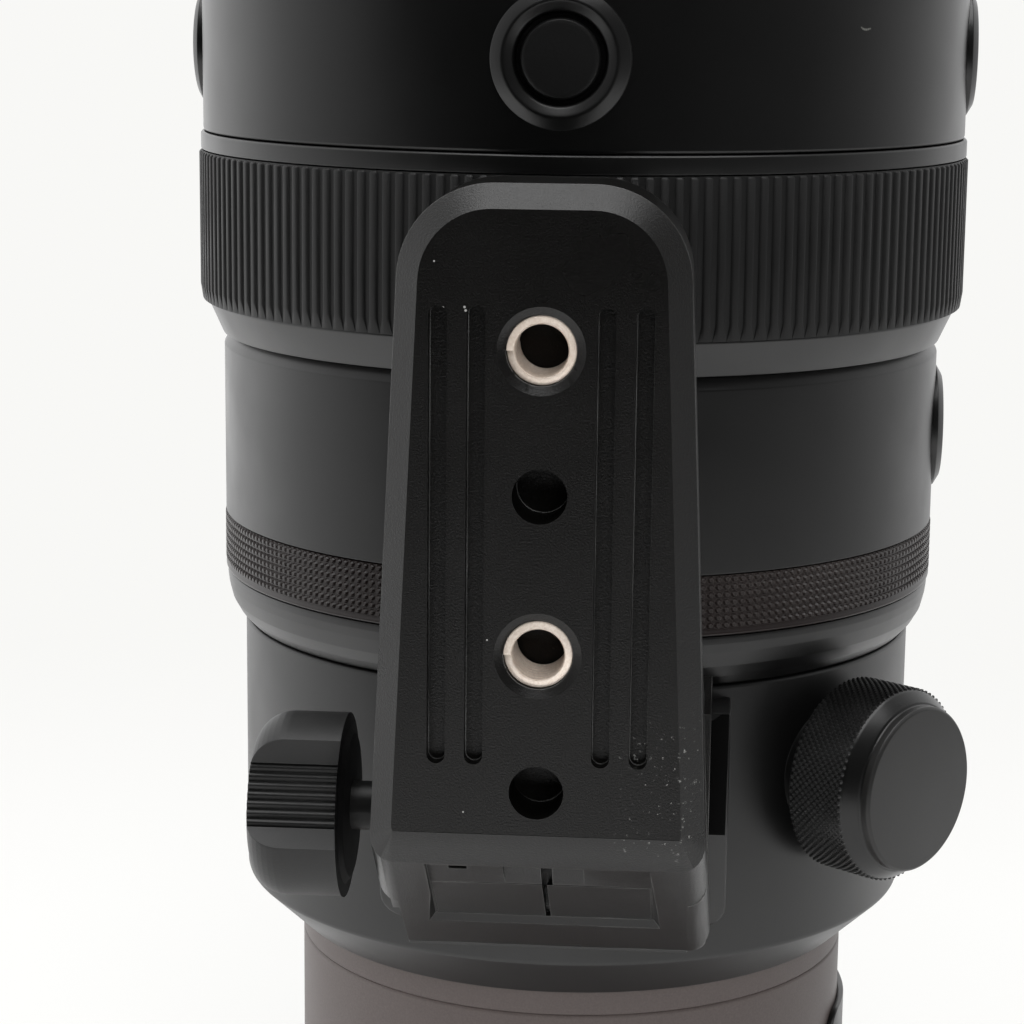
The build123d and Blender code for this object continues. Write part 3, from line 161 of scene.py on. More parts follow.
def brick(name, size, centre):
    clearSelection()
    bpy.ops.mesh.primitive_cube_add(size=1, location=Vector(centre) * mm)
    piece = named(name)
    piece.scale = Vector(size) * mm
    bpy.ops.object.transform_apply()
    return piece


# a slot cutter with round ends, along local Y
def slotDrum(name, width, length, low, high):
    half = length / 2 - width / 2
    points = []
    for turn, middle in ((0, half), (1, -half)):
        for k in range(13):
            angle = math.pi * (turn + k / 12)
            points.append((width / 2 * math.cos(angle), middle + width / 2 * math.sin(angle), low))
    return pullOutline(name, points, (0, 0, high - low))


# winds an outline round the Z axis into a coil with closed ends
def windUp(piece, rise, turns, steps):
    bpy.ops.object.mode_set(mode='OBJECT')
    coil = piece.modifiers.new("coil", 'SCREW')
    coil.angle = fullTurn
    coil.screw_offset = rise * mm
    coil.iterations = turns
    coil.steps = steps
    coil.render_steps = steps
    applyModifier(piece, coil)
    openAll()
    bpy.ops.mesh.fill_holes(sides=12)
    closeUp()
    return piece


# a side view of (distance, height) points pulled out to both sides
def sideBlock(name, points, half):
    return pullOutline(name, [(-half, -d, z) for d, z in points], (2 * half, 0, 0))


# stands a piece on the lens: local Z points outward at a bearing, local Y up the lens
def wallFrame(bearing, radius, height):
    b = math.radians(bearing)
    out = Vector((math.sin(b), -math.cos(b), 0))
    across = Vector((math.cos(b), math.sin(b), 0))
    spot = out * radius * mm + Vector((0, 0, height * mm))
    return Matrix.Translation(spot) @ Matrix((across, Vector((0, 0, 1)), out)).transposed().to_4x4()


def standOn(piece, place):
    piece.data.transform(place)
    return piece


def applyModifier(piece, modifier):
    takeUp(piece)
    bpy.ops.object.modifier_apply(modifier=modifier.name)


def workWith(piece, tools, operation='DIFFERENCE'):
    for tool in tools:
        step = piece.modifiers.new("work", 'BOOLEAN')
        step.operation = operation
        step.solver = 'EXACT'
        step.object = tool
        applyModifier(piece, step)
        bpy.data.objects.remove(tool)
    return piece


# joins pieces into the first of them
def joinUp(pieces):
    takeUp(pieces[0])
    for piece in pieces[1:]:
        piece.select_set(True)
    bpy.ops.object.join()
    return pieces[0]


def roundEdges(piece, width, segments=2, angle=30, smooth=36):
    bevel = piece.modifiers.new("round", 'BEVEL')
    bevel.width = width * mm
    bevel.segments = segments
    bevel.limit_method = 'ANGLE'
    bevel.angle_limit = math.radians(angle)
    bevel.miter_outer = 'MITER_ARC'
    applyModifier(piece, bevel)
    return smoothOver(piece, smooth)


# bevels the edges between two faces whose normals pass a test
def bevelEdges(piece, size, segments, wanted):
    beside = {}
    for face in piece.data.polygons:
        for key in face.edge_keys:
            beside.setdefault(key, []).append(face.normal.copy())
    takeUp(piece)
    bpy.ops.object.mode_set(mode='EDIT')
    bpy.ops.mesh.select_mode(type='EDGE')
    bpy.ops.mesh.select_all(action='DESELECT')
    bpy.ops.object.mode_set(mode='OBJECT')
    for edge in piece.data.edges:
        faces = beside.get(edge.key, [])
        edge.select = len(faces) == 2 and (wanted(*faces) or wanted(*faces[::-1]))
    bpy.ops.object.mode_set(mode='EDIT')
    bpy.ops.mesh.bevel(offset=size * mm, offset_type='OFFSET', segments=segments, affect='EDGES')
    bpy.ops.mesh.select_mode(type='VERT')
    closeUp()
    return piece


# a copy of a CAD node with its triangles joined and its edges rounded
def roundedCopy(node, name, width, angle=25):
    source = nodes[node]
    piece = source.copy()
    piece.data = source.data.copy()
    piece.parent = None
    bpy.context.scene.collection.objects.link(piece)
    for key in list(piece.keys()):
        if key.startswith("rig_"):
            del piece[key]
    piece.name = name
    takeUp(piece)
    bpy.ops.mesh.customdata_custom_splitnormals_clear()
    openAll()
    bpy.ops.mesh.remove_doubles(threshold=1e-6)
    bpy.ops.mesh.dissolve_limited(angle_limit=math.radians(1))
    closeUp()
    return roundEdges(piece, width, angle=angle)


# copies a piece evenly round the Z axis
def spinCopies(piece, count):
    takeUp(piece)
    openAll()
    bpy.ops.mesh.spin(steps=count - 1, angle=fullTurn * (count - 1) / count, dupli=True,
                      center=(0, 0, 0), axis=(0, 0, 1))
    bpy.ops.mesh.select_mode(type='VERT')
    closeUp()
    return piece


# hands a finished piece to its body, with the CAD node that it replaces and its finish
def handOver(piece, body, node, finish):
    piece.data.materials.clear()
    piece.data.materials.append(paint[finish])
    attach(piece, body)
    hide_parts(node)


# finishes

# sets or links the inputs of a shader node
def feed(tree, node, inputs):
    for name, value in inputs.items():
        if isinstance(value, bpy.types.NodeSocket):
            tree.links.new(value, node.inputs[name])
        else:
            node.inputs[name].default_value = value
    return node


def addNode(tree, kind, inputs=None, **settings):
    node = tree.nodes.new('ShaderNode' + kind)
    for name, value in settings.items():
        setattr(node, name, value)
    return feed(tree, node, inputs or {})


def nodeKit(name):
    material = bpy.data.materials.new(name)
    material.use_nodes = True
    tree = material.node_tree
    tree.nodes.clear()
    shader = addNode(tree, 'BsdfPrincipled')
    addNode(tree, 'OutputMaterial', {'Surface': shader.outputs['BSDF']})
    return material, tree, shader


def objectPlace(tree):
    return addNode(tree, 'TexCoord').outputs['Object']


def farFrom(tree, middle):
    return addNode(tree, 'VectorMath', {0: objectPlace(tree), 1: Vector(middle) * mm},
                   operation='DISTANCE').outputs['Value']


def grain(tree, scale, detail=3, roughness=0.6, stretch=(1, 1, 1), kind='TexNoise'):
    place = addNode(tree, 'Mapping', {'Scale': stretch, 'Vector': objectPlace(tree)}).outputs['Vector']
    inputs = {'Scale': scale, 'Vector': place}
    if kind == 'TexNoise':
        inputs.update({'Detail': detail, 'Roughness': roughness})
    return addNode(tree, kind, inputs)


def spread(tree, value, low, high, to=(0, 1)):
    return addNode(tree, 'MapRange', {'From Min': low, 'From Max': high, 'To Min': to[0], 'To Max': to[1],
                                      'Value': value}).outputs['Result']


# a tone is a colour, or one number for a grey
def asColour(tone):
    return (*tone, 1) if isinstance(tone, tuple) else (tone, tone, tone, 1)


def blendTones(tree, factor, low, high):
    low, high = [tone if isinstance(tone, bpy.types.NodeSocket) else asColour(tone) for tone in (low, high)]
    return addNode(tree, 'Mix', {'Factor': factor, 'A': low, 'B': high}, data_type='RGBA').outputs['Result']


def combine(tree, how, a, b):
    return addNode(tree, 'Math', {0: a, 1: b}, operation=how).outputs['Value']


# 1 at the edges of a piece, 0 on its faces
def edgeShare(tree, width):
    rounded = addNode(tree, 'Bevel', {'Radius': width * mm}, samples=4).outputs['Normal']
    plain = addNode(tree, 'NewGeometry').outputs['Normal']
    agree = addNode(tree, 'VectorMath', {0: rounded, 1: plain}, operation='DOT_PRODUCT')
    return spread(tree, agree.outputs['Value'], 0.99, 0.9)


# painted, moulded or coated surface: fine grain, slow smudges, dust, chips, and worn edges whose light tone
# is partly a painted edge highlight
def coatFinish(name, look):
    material, tree, shader = nodeKit(name)
    fine = grain(tree, look["grain"], 4, 0.65, look.get("stretch", (1, 1, 1))).outputs['Fac']
    slow = grain(tree, look.get("cloud", 60), 3, 0.55).outputs['Fac']
    tone = blendTones(tree, spread(tree, fine, 0.35, 0.7), look["dark"], look["light"])
    if "smudge" in look:
        tone = blendTones(tree, spread(tree, slow, 0.45, 0.75, (0, look["smudge"])), tone,
                          look.get("smudgeTone", look["light"]))
    if "dust" in look:
        flecks = grain(tree, look["dustScale"], kind='TexVoronoi')
        chosen = spread(tree, flecks.outputs['Color'], 1 - look["dust"], 1 - look["dust"] + 0.01)
        near = spread(tree, flecks.outputs['Distance'], look["dustSize"], look["dustSize"] * 0.5)
        tone = blendTones(tree, combine(tree, 'MULTIPLY', chosen, near), tone, look["dustTone"])
    for middle, reach in look.get("scuffs", []):
        chips = grain(tree, 1500, 4, 0.7).outputs['Fac']
        around = spread(tree, farFrom(tree, middle), reach * mm, reach * 0.3 * mm)
        marks = combine(tree, 'MULTIPLY', around, spread(tree, chips, 0.62, 0.68))
        tone = blendTones(tree, marks, tone, look["dustTone"])
    for middle, radius in look.get("nicks", []):
        mark = spread(tree, farFrom(tree, middle), radius * mm, radius * 0.7 * mm)
        tone = blendTones(tree, mark, tone, look["dustTone"])
    # worn edges: a lighter tone along the edges, partly real wear and partly a painted highlight; on the foot
    # it is kept off the edges in front of a set distance
    if "wearAndHighlight" in look:
        wornAndLitEdges = combine(tree, 'MULTIPLY', edgeShare(tree, look.get("wearAndHighlightWidth", 0.2)),
                       spread(tree, slow, 0.35, 0.65))
        if "wearAndHighlightBehind" in look:
            place = addNode(tree, 'SeparateXYZ', {'Vector': objectPlace(tree)})
            limit = -look["wearAndHighlightBehind"] * mm
            wornAndLitEdges = combine(tree, 'MULTIPLY', wornAndLitEdges, spread(tree, place.outputs['Y'], limit - 0.2 * mm, limit))
        tone = blendTones(tree, combine(tree, 'MULTIPLY', wornAndLitEdges, look["wearAndHighlight"]), tone, look["wearAndHighlightTone"])
    bump = addNode(tree, 'Bump', {'Strength': look["bump"], 'Distance': look.get("depth", 0.03) * mm,
                                  'Height': fine})
    feed(tree, shader, {'Base Color': tone, 'Roughness': spread(tree, slow, 0.3, 0.7, look["rough"]),
                        'Normal': bump.outputs['Normal'], 'Metallic': look.get("metal", 0),
                        'Specular IOR Level': look.get("specular", 0.5)})
    return material


# coated optical glass: a dark clear body under a tinted skin
def glassFinish(name, look):
    material, tree, shader = nodeKit(name)
    cloud = grain(tree, 18, 2).outputs['Fac']
    rim = addNode(tree, 'LayerWeight', {'Blend': 0.35}).outputs['Facing']
    feed(tree, shader, {'Base Color': blendTones(tree, rim, look["tone"], look["rim"]),
                        'Roughness': spread(tree, cloud, 0.3, 0.7, look["rough"]), 'IOR': 1.6,
                        'Transmission Weight': look["clear"], 'Coat Weight': 0.6,
                        'Coat Tint': (*look["skin"], 1)})
    return material


# tones are greys or colours; grain and cloud are pattern scales; depth, widths and places are in millimetres;
# scuffs are (middle, reach) of chipped patches and nicks (middle, radius) of single marks
finishes = {
    "barrelBlack": {
        "dark": 0.0012, "light": 0.0022, "grain": 5200, "rough": (0.29, 0.37), "bump": 0.25, "depth": 0.02,
        "smudge": 0.2, "cloud": 45, "smudgeTone": 0.0034, "dust": 0.012, "dustScale": 420, "dustSize": 0.1,
        "dustTone": (0.12, 0.12, 0.11), "wearAndHighlight": 0.5, "wearAndHighlightTone": 0.03,
        "nicks": [((36.21, -37.88, 176.83), 0.13), ((36.4, -37.7, 176.68), 0.16),
        ((36.62, -37.48, 176.6), 0.17), ((36.86, -37.25, 176.58), 0.17), ((37.09, -37.01, 176.62), 0.16),
        ((37.3, -36.8, 176.7), 0.13)]},
    "ringBlack": {
        "dark": 0.0013, "light": 0.0026, "grain": 4200, "rough": (0.31, 0.41), "bump": 0.3, "depth": 0.02,
        "smudge": 0.2, "wearAndHighlight": 0.6, "wearAndHighlightTone": 0.05, "specular": 0.62},
    "gripRubber": {
        "dark": 0.0022, "light": 0.005, "grain": 6500, "rough": (0.5, 0.62), "bump": 0.45, "depth": 0.03,
        "smudge": 0.35, "cloud": 90, "smudgeTone": 0.007, "dust": 0.04, "dustScale": 700, "dustSize": 0.14,
        "dustTone": (0.16, 0.16, 0.15)},
    "knurlBrown": {
        "dark": (0.0085, 0.0058, 0.0055), "light": (0.0145, 0.0105, 0.01), "grain": 5200,
        "rough": (0.26, 0.36), "bump": 0.2, "depth": 0.02, "smudge": 0.3, "wearAndHighlight": 0.6,
        "wearAndHighlightTone": (0.09, 0.08, 0.075), "specular": 0.42},
    "collarSatin": {
        "dark": 0.0017, "light": 0.0032, "grain": 4800, "rough": (0.34, 0.44), "bump": 0.35, "depth": 0.025,
        "smudge": 0.2, "cloud": 40, "smudgeTone": 0.0046, "dust": 0.01, "dustScale": 380, "dustSize": 0.1,
        "dustTone": (0.14, 0.14, 0.13), "wearAndHighlight": 0.5, "wearAndHighlightTone": 0.05, "specular": 0.66},
    # matt black of the sheets that paint the foot's shadow on the pedestal's front
    "paintedShadeBlack": {
        "dark": 0.0005, "light": 0.001, "grain": 4800, "rough": (0.75, 0.85), "bump": 0.3, "depth": 0.02,
        "smudge": 0.2, "specular": 0.12},
    "rearBrown": {
        "dark": (0.075, 0.061, 0.058), "light": (0.095, 0.079, 0.075), "grain": 3600, "rough": (0.42, 0.5),
        "bump": 0.4, "depth": 0.03, "smudge": 0.3, "cloud": 40, "smudgeTone": (0.1, 0.083, 0.079),
        "wearAndHighlight": 0.4, "wearAndHighlightTone": (0.06, 0.055, 0.05), "specular": 0.28},
    # the foot's light edge tone is both edge wear and a painted highlight along its outer edges
    "footPowder": {
        "dark": (0.0012, 0.0011, 0.001), "light": (0.0042, 0.0039, 0.0036), "grain": 4200,
        "rough": (0.27, 0.35), "bump": 1.0, "depth": 0.05, "smudge": 0.06, "cloud": 70,
        "smudgeTone": (0.006, 0.0057, 0.0053), "dust": 0.05, "dustScale": 620, "dustSize": 0.12,
        "dustTone": (0.3, 0.3, 0.29), "wearAndHighlight": 1.0, "wearAndHighlightBehind": 79.6, "wearAndHighlightTone": (0.13, 0.13, 0.127),
        "scuffs": [((15.59, -80.0, 93.37), 7.5), ((13.79, -80.0, 86.14), 6.0)],
        "nicks": [((-16.59, -78.6, 142.19), 0.2), ((-16.64, -78.6, 141.05), 0.22),
        ((-11.07, -80.0, 146.19), 0.2), ((-8.63, -80.0, 146.35), 0.16), ((-8.51, -80.0, 145.96), 0.16),
        ((-12.25, -80.0, 142.06), 0.17), ((-11.01, -80.0, 141.14), 0.2), ((-12.07, -80.0, 151.41), 0.12),
        ((-5.8, -80.0, 108.28), 0.12), ((-8.41, -80.0, 87.76), 0.12)], "specular": 0.42, "wearAndHighlightWidth": 0.22},
    "knobPlastic": {
        "dark": 0.0024, "light": 0.0048, "grain": 3000, "rough": (0.4, 0.5), "bump": 0.5, "depth": 0.04,
        "smudge": 0.3, "dust": 0.05, "dustScale": 600, "dustSize": 0.13, "dustTone": (0.2, 0.2, 0.19),
        "wearAndHighlight": 0.5, "wearAndHighlightTone": 0.06},
    "knobGrip": {
        "dark": 0.0013, "light": 0.003, "grain": 5200, "rough": (0.26, 0.36), "bump": 0.3, "depth": 0.02,
        "smudge": 0.2, "wearAndHighlight": 0.6, "wearAndHighlightTone": 0.05},
    "knobFace": {
        "dark": (0.0092, 0.009, 0.0088), "light": (0.0142, 0.0139, 0.0135), "grain": 5200,
        "rough": (0.4, 0.48), "bump": 0.4, "depth": 0.02, "smudge": 0.25, "wearAndHighlight": 0.5, "wearAndHighlightTone": 0.06},
    "insertSteel": {
        "dark": (0.8, 0.68, 0.58), "light": (0.98, 0.88, 0.78), "grain": 2600, "rough": (0.28, 0.4),
        "bump": 0.3, "depth": 0.03, "metal": 0.4, "smudge": 0.4, "smudgeTone": (0.62, 0.48, 0.36)},
    "screwSteel": {
        "dark": (0.36, 0.35, 0.33), "light": (0.52, 0.51, 0.49), "grain": 1800, "rough": (0.26, 0.4),
        "bump": 0.25, "depth": 0.02, "metal": 1, "smudge": 0.3, "smudgeTone": (0.25, 0.24, 0.22)},
    "darkSteel": {
        "dark": 0.006, "light": (0.011, 0.011, 0.0105), "grain": 1800, "rough": (0.34, 0.44), "bump": 0.25,
        "depth": 0.02, "metal": 0.2, "smudge": 0.3, "smudgeTone": 0.016, "specular": 0.3},
    "mountChrome": {
        "dark": (0.6, 0.6, 0.61), "light": 0.7, "grain": 900, "stretch": (1, 1, 6), "rough": (0.14, 0.24),
        "bump": 0.12, "depth": 0.01, "metal": 1, "smudge": 0.25, "smudgeTone": (0.45, 0.45, 0.46)},
    "contactGold": {
        "dark": (0.7, 0.5, 0.2), "light": (0.85, 0.65, 0.3), "grain": 1500, "rough": (0.18, 0.3),
        "bump": 0.15, "depth": 0.01, "metal": 1, "smudge": 0.3, "smudgeTone": (0.5, 0.34, 0.14)},
    "innerBlack": {
        "dark": 0.006, "light": 0.011, "grain": 3200, "rough": (0.55, 0.7), "bump": 0.4, "depth": 0.04,
        "smudge": 0.3},
    "innerAlloy": {
        "dark": (0.09, 0.09, 0.095), "light": (0.14, 0.14, 0.145), "grain": 1500, "rough": (0.4, 0.5),
        "bump": 0.2, "depth": 0.02, "metal": 0.8, "smudge": 0.3, "smudgeTone": 0.06},
    "sealRubber": {
        "dark": 0.008, "light": 0.014, "grain": 4200, "rough": (0.6, 0.75), "bump": 0.5, "depth": 0.03,
        "smudge": 0.3},
    "boardGreen": {
        "dark": (0.008, 0.06, 0.02), "light": (0.02, 0.12, 0.045), "grain": 700, "rough": (0.25, 0.4),
        "bump": 0.3, "depth": 0.04, "smudge": 0.3, "smudgeTone": (0.3, 0.22, 0.08)},
    "coilCopper": {
        "dark": (0.45, 0.2, 0.1), "light": (0.7, 0.34, 0.18), "grain": 2400, "stretch": (1, 1, 8),
        "rough": (0.3, 0.4), "bump": 0.5, "depth": 0.05, "metal": 1, "smudge": 0.3,
        "smudgeTone": (0.35, 0.15, 0.07)},
}
paint = {name: coatFinish(name, look) for name, look in finishes.items()}
glassLooks = {
    "frontGlass": {"tone": (0.9, 0.94, 0.97), "rim": (0.5, 0.65, 0.8), "rough": (0.01, 0.03), "clear": 0.95,
                   "skin": (0.6, 0.85, 0.75)},
    "innerGlass": {"tone": (0.85, 0.8, 0.9), "rim": (0.6, 0.5, 0.75), "rough": (0.01, 0.04), "clear": 0.9,
                   "skin": (0.7, 0.6, 0.9)},
}
paint.update({name: glassFinish(name, look) for name, look in glassLooks.items()})
print("stage: finishes mixed")


# barrels and rings, turned on the lathe

buttonWell = {"bezel": 8.52, "stem": 2.15, "depth": 1.7}
buttonSpots = {"front": (52.4, 173.0), "mid": (49.8, 121.6)}


# the well that a button sits in and the bore of its stem, ready to cut
def wellCutters(bearing, radius, height):
    floor = radius - buttonWell["depth"]
    well = drum("wellCutter", buttonWell["bezel"], floor, radius + 3, 72)
    bore = drum("stemCutter", buttonWell["stem"], floor - 3, floor + 0.5, 48)
    return [standOn(piece, wallFrame(bearing, 0, height)) for piece in (well, bore)]


frontBarrelShape = {
    "outline": [(46.8, 134.05), (48.7, 134.05), (48.7, 161.75), (52.25, 161.75), (52.4, 162.1),
    (52.4, 164.25), (52.4, 181.75), (52.4, 267.75), (49.8, 267.75), (49.8, 163.75), (46.8, 163.75)],
    "soft": 0.12, "steps": 288}
frontBarrel = turnPiece("frontBarrel", frontBarrelShape)
for bearing in (0, 90, 180, 270):
    workWith(frontBarrel, wellCutters(bearing, *buttonSpots["front"]))
evenShade(frontBarrel)
handOver(frontBarrel, "lens_body", "front_barrel", "barrelBlack")

midBarrelShape = {
    "outline": [(45.2, 100.95), (47.4, 100.95), (47.4, 109.05), (49.8, 109.05), (49.8, 112.9),
    (49.8, 130.3), (49.8, 132.45), (48.84, 134.05), (46.7, 134.05), (46.7, 111.05), (45.2, 109.05)],
    "soft": 0.15, "steps": 288}
midBarrel = turnPiece("midBarrel", midBarrelShape)
workWith(midBarrel, wellCutters(90, *buttonSpots["mid"]))
evenShade(midBarrel)
handOver(midBarrel, "lens_body", "mid_barrel", "ringBlack")

zoomRingShape = {
    "outline": [(48.75, 134.2), (49.95, 134.2), (51.9, 138.55), (51.9, 138.85), (50.9, 138.85),
    (50.9, 159.25), (52.75, 159.25), (52.75, 161.35), (52.5, 161.6), (48.75, 161.6)], "soft": 0.15,
    "steps": 288}
zoomRing = turnPiece("zoomRing", zoomRingShape)
handOver(zoomRing, "zoom", "zoom_ring", "ringBlack")

baseCasingShape = {
    "outline": [(49.55, 100.95), (49.6, 100.7), (49.6, 99.97), (49.45, 98.8), (48.98, 96.89),
    (48.1, 95.35), (46.95, 94.1), (46.8, 93.95), (41.0, 93.95), (41.0, 60.15), (39.0, 60.15),
    (39.0, 95.95), (37.55, 95.95), (37.55, 98.95), (45.2, 98.95), (45.2, 100.95)], "soft": 0.1,
    "steps": 288}
baseCasing = turnPiece("baseCasing", baseCasingShape)
handOver(baseCasing, "lens_body", "base_casing", "ringBlack")

neckShape = {
    "outline": [(39.15, 60.15), (39.15, 47.3), (38.95, 47.1), (37.3, 47.1), (37.3, 43.1), (35.55, 43.1),
    (35.55, 58.15), (38.9, 60.15)], "soft": 0.1, "steps": 288}
neck = turnPiece("neck", neckShape)
handOver(neck, "lens_body", "base_casing", "rearBrown")

rearBarrelShape = {
    "outline": [(27.0, 3.0), (35.15, 3.0), (39.15, 7.0), (39.15, 46.8), (38.95, 47.1), (37.35, 47.1),
    (37.35, 6.0), (27.0, 6.0)], "soft": 0.25, "steps": 288, "switches": [28.5, 14.5]}
rearBarrel = turnPiece("rearBarrel", rearBarrelShape)
for switchHeight in rearBarrelShape["switches"]:
    pocket = brick("switchPocket", (5.2, 10.8, 8.0), (0, 0, 42.05))
    workWith(rearBarrel, [standOn(pocket, wallFrame(90, 0, switchHeight))])
evenShade(rearBarrel)
handOver(rearBarrel, "lens_body", "rear_barrel", "rearBrown")
print("stage: barrels turned")


# zoom grip: a rubber band with moulded ribs

gripShape = {
    "count": 180, "low": 138.87, "high": 159.1, "root": 51.7, "valley": 52.68, "top": 53.0,
    "shoulder": 52.92, "topWidth": 0.94, "rootWidth": 2.1, "endWidth": 1.86, "taper": 2.0, "lead": 0.4,
    "crown": 0.5}
zoomGrip = turnOutline("zoomGrip", [(50.92, gripShape["low"]), (51.88, gripShape["low"]),
                                    (gripShape["valley"], gripShape["low"] + 0.3),
                                    (gripShape["valley"], gripShape["high"]), (50.92, gripShape["high"])],
                       0.06, 240)


# one rounded rib, which widens at its lower end so that the grooves close to a point
def oneRib(shape):
    rib = brick("rib", (1, 1, 1), (0, 0, 0))
    openAll()
    bpy.ops.mesh.subdivide(number_cuts=2)
    bpy.ops.object.mode_set(mode='OBJECT')
    low, high = shape["low"], shape["high"]
    heights = [low + 0.05, low + shape["taper"], high - shape["lead"], high]
    for vertex in rib.data.vertices:
        layer, side, level = [round((v / mm + 0.5) * 3) for v in vertex.co]
        share = layer / 3
        root, edge = shape["rootWidth"], shape["topWidth"]
        crown = shape["crown"] * shape["topWidth"]
        rim, peak = shape["shoulder"], shape["top"]
        if level == 0:
            root = edge = shape["endWidth"]
            crown, rim, peak = edge / 3, shape["valley"] + 0.01, shape["valley"] + 0.03
        elif level == 3:
            rim, peak = rim - shape["lead"], peak - shape["lead"]
        outer = side in (0, 3)
        width = root + (edge - root) * share if outer else root / 3 + (crown - root / 3) * share
        radius = shape["root"] + ((rim if outer else peak) - shape["root"]) * share
        vertex.co = Vector((radius, width / 2 * (1 if side > 1 else -1), heights[level])) * mm
    return rib


joinUp([zoomGrip, spinCopies(oneRib(gripShape), gripShape["count"])])
smoothOver(zoomGrip, 62)
handOver(zoomGrip, "zoom", "zoom_grip", "gripRubber")
print("stage: grip ribbed")


# control ring: small square points in rows, over a smooth lip

controlShape = {
    "outline": [(47.45, 101.1), (49.6, 101.1), (49.85, 101.25), (49.85, 101.5), (49.52, 101.95),
    (49.55, 108.85), (47.45, 108.85)], "columns": 285, "rows": 7, "firstHeight": 102.46,
    "rowPitch": 0.985, "squash": 0.9, "tip": 49.88, "base": 49.53}
controlRing = turnOutline("controlRing", controlShape["outline"], 0.12, 288)


# one column of points, copied round the ring
def pointColumn(shape, pitch):
    points = []
    for row in range(shape["rows"]):
        clearSelection()
        bpy.ops.mesh.primitive_cone_add(vertices=8, radius1=pitch * 0.5 * mm, radius2=pitch * 0.26 * mm,
                                        depth=(shape["tip"] - shape["base"]) * mm,
                                        location=(0, 0, (shape["tip"] + shape["base"]) / 2 * mm))
        tip = named("point")
        bpy.ops.object.transform_apply()
        tip.data.transform(Matrix.Rotation(math.radians(22.5), 4, 'Z'))
        tip.data.transform(Matrix.Diagonal((1, shape["squash"], 1, 1)))
        points.append(standOn(tip, wallFrame(90, 0, shape["firstHeight"] + row * shape["rowPitch"])))
    return spinCopies(joinUp(points), shape["columns"])


controlPoints = pointColumn(controlShape, fullTurn * controlShape["tip"] / controlShape["columns"] * 0.98)
joinUp([controlRing, controlPoints])
smoothOver(controlRing, 20)
handOver(controlRing, "control", "control_ring", "knurlBrown")
print("stage: control ring knurled")


# tripod collar with its pedestal, rail and lock boss

collarShape = {
    "outline": [(39.5, 50.8), (40.3, 50.8), (40.5, 51.0), (47.0, 57.1), (47.1, 57.5), (47.1, 93.5),
    (46.8, 93.8), (41.05, 93.8), (41.05, 60.0), (39.5, 60.0)], "soft": 0.3, "steps": 288}
# pad is the outline of a dark sheet that paints the foot's shadow on the pedestal's front
pedestalShape = {
    "side": [(41.2, 92.2), (49.4, 92.2), (49.4, 78.5), (49.1, 74.0), (48.3, 70.0), (47.0, 66.0),
    (45.2, 62.2), (41.2, 62.2)], "half": 22.3, "curl": 3.5, "rail": [(14.5, 43.0), (14.5, 50.6),
    (17.6, 53.7), (17.6, 54.7), (-17.6, 54.7), (-17.6, 53.7), (-14.5, 50.6), (-14.5, 43.0)],
    "railLow": 62.2, "railLength": 30.0, "pad": [(18.0, 76.2), (22.0, 76.2), (22.15, 92.0), (21.2, 92.0),
    (19.7, 90.9), (18.0, 90.9)]}
lockBossShape = {"bearing": 50, "height": 80.0, "radius": 9.0, "low": 42.0, "high": 48.9}
lockFrame = wallFrame(lockBossShape["bearing"], 0, lockBossShape["height"])
collar = turnPiece("tripodCollar", collarShape)
pedestal = sideBlock("pedestal", pedestalShape["side"], pedestalShape["half"])
bevelEdges(pedestal, pedestalShape["curl"], 6, lambda a, b: abs(a.x) > 0.9 and b.z < -0.95)
roundEdges(pedestal, 0.35, 2, 35)
rail = pullOutline("rail", [(x, -d, pedestalShape["railLow"]) for x, d in pedestalShape["rail"]],
                   (0, 0, pedestalShape["railLength"]))
roundEdges(rail, 0.25)
lockBoss = standOn(drum("lockBoss", lockBossShape["radius"], lockBossShape["low"], lockBossShape["high"], 96),
                   lockFrame)
roundEdges(lockBoss, 0.4, 3)
joinUp([collar, pedestal, rail, lockBoss])
smoothOver(collar, 40)
handOver(collar, "collar", "collar_ring", "collarSatin")

# dark matt sheets on the pedestal's front, beside the foot's lip and the jaw: painted shade where the foot
# shadows the pedestal
shadeSheets = []
for side in (1, -1):
    plan = [(side * x, -49.3, z) for x, z in pedestalShape["pad"]]
    shadeSheets.append(pullOutline("paintedShadeSheets", plan, (0, -0.22, 0)))
paintedShadeSheets = joinUp(shadeSheets)
roundEdges(paintedShadeSheets, 0.08)
handOver(paintedShadeSheets, "collar", "collar_ring", "paintedShadeBlack")
print("stage: collar made")


# lock knob: staggered round points, shoulder, groove and plain face

lockShape = {
    "outline": [(0, 49.5), (12.1, 49.5), (12.5, 49.85), (12.5, 57.95), (12.35, 58.25), (11.15, 59.75),
    (10.9, 59.85), (10.8, 60.3), (0, 60.3)], "face": [(0, 59.8), (10.75, 59.8), (10.85, 60.0),
    (10.85, 60.95), (10.5, 61.3), (0, 61.3)], "columns": 84, "rows": 17, "rowRadius": 12.6,
    "firstHeight": 50.08, "rowPitch": 0.48}
lockKnob = turnOutline("lockKnob", lockShape["outline"], 0.12, 144)
dots = []
for row in range(lockShape["rows"]):
    clearSelection()
    bpy.ops.mesh.primitive_cone_add(vertices=8, radius1=0.31 * mm, radius2=0.15 * mm, depth=0.34 * mm)
    dot = named("dot")
    swing = math.pi / lockShape["columns"] * (row % 2)
    spot = Vector((lockShape["rowRadius"], 0, lockShape["firstHeight"] + row * lockShape["rowPitch"])) * mm
    lean = Matrix.Translation(spot) @ Matrix.Rotation(math.pi / 2, 4, 'Y')
    dots.append(standOn(dot, Matrix.Rotation(swing, 4, 'Z') @ lean))
joinUp([lockKnob, spinCopies(joinUp(dots), lockShape["columns"])])
smoothOver(lockKnob, 25)
standOn(lockKnob, lockFrame)
handOver(lockKnob, "lock", "lock_knob", "knobGrip")
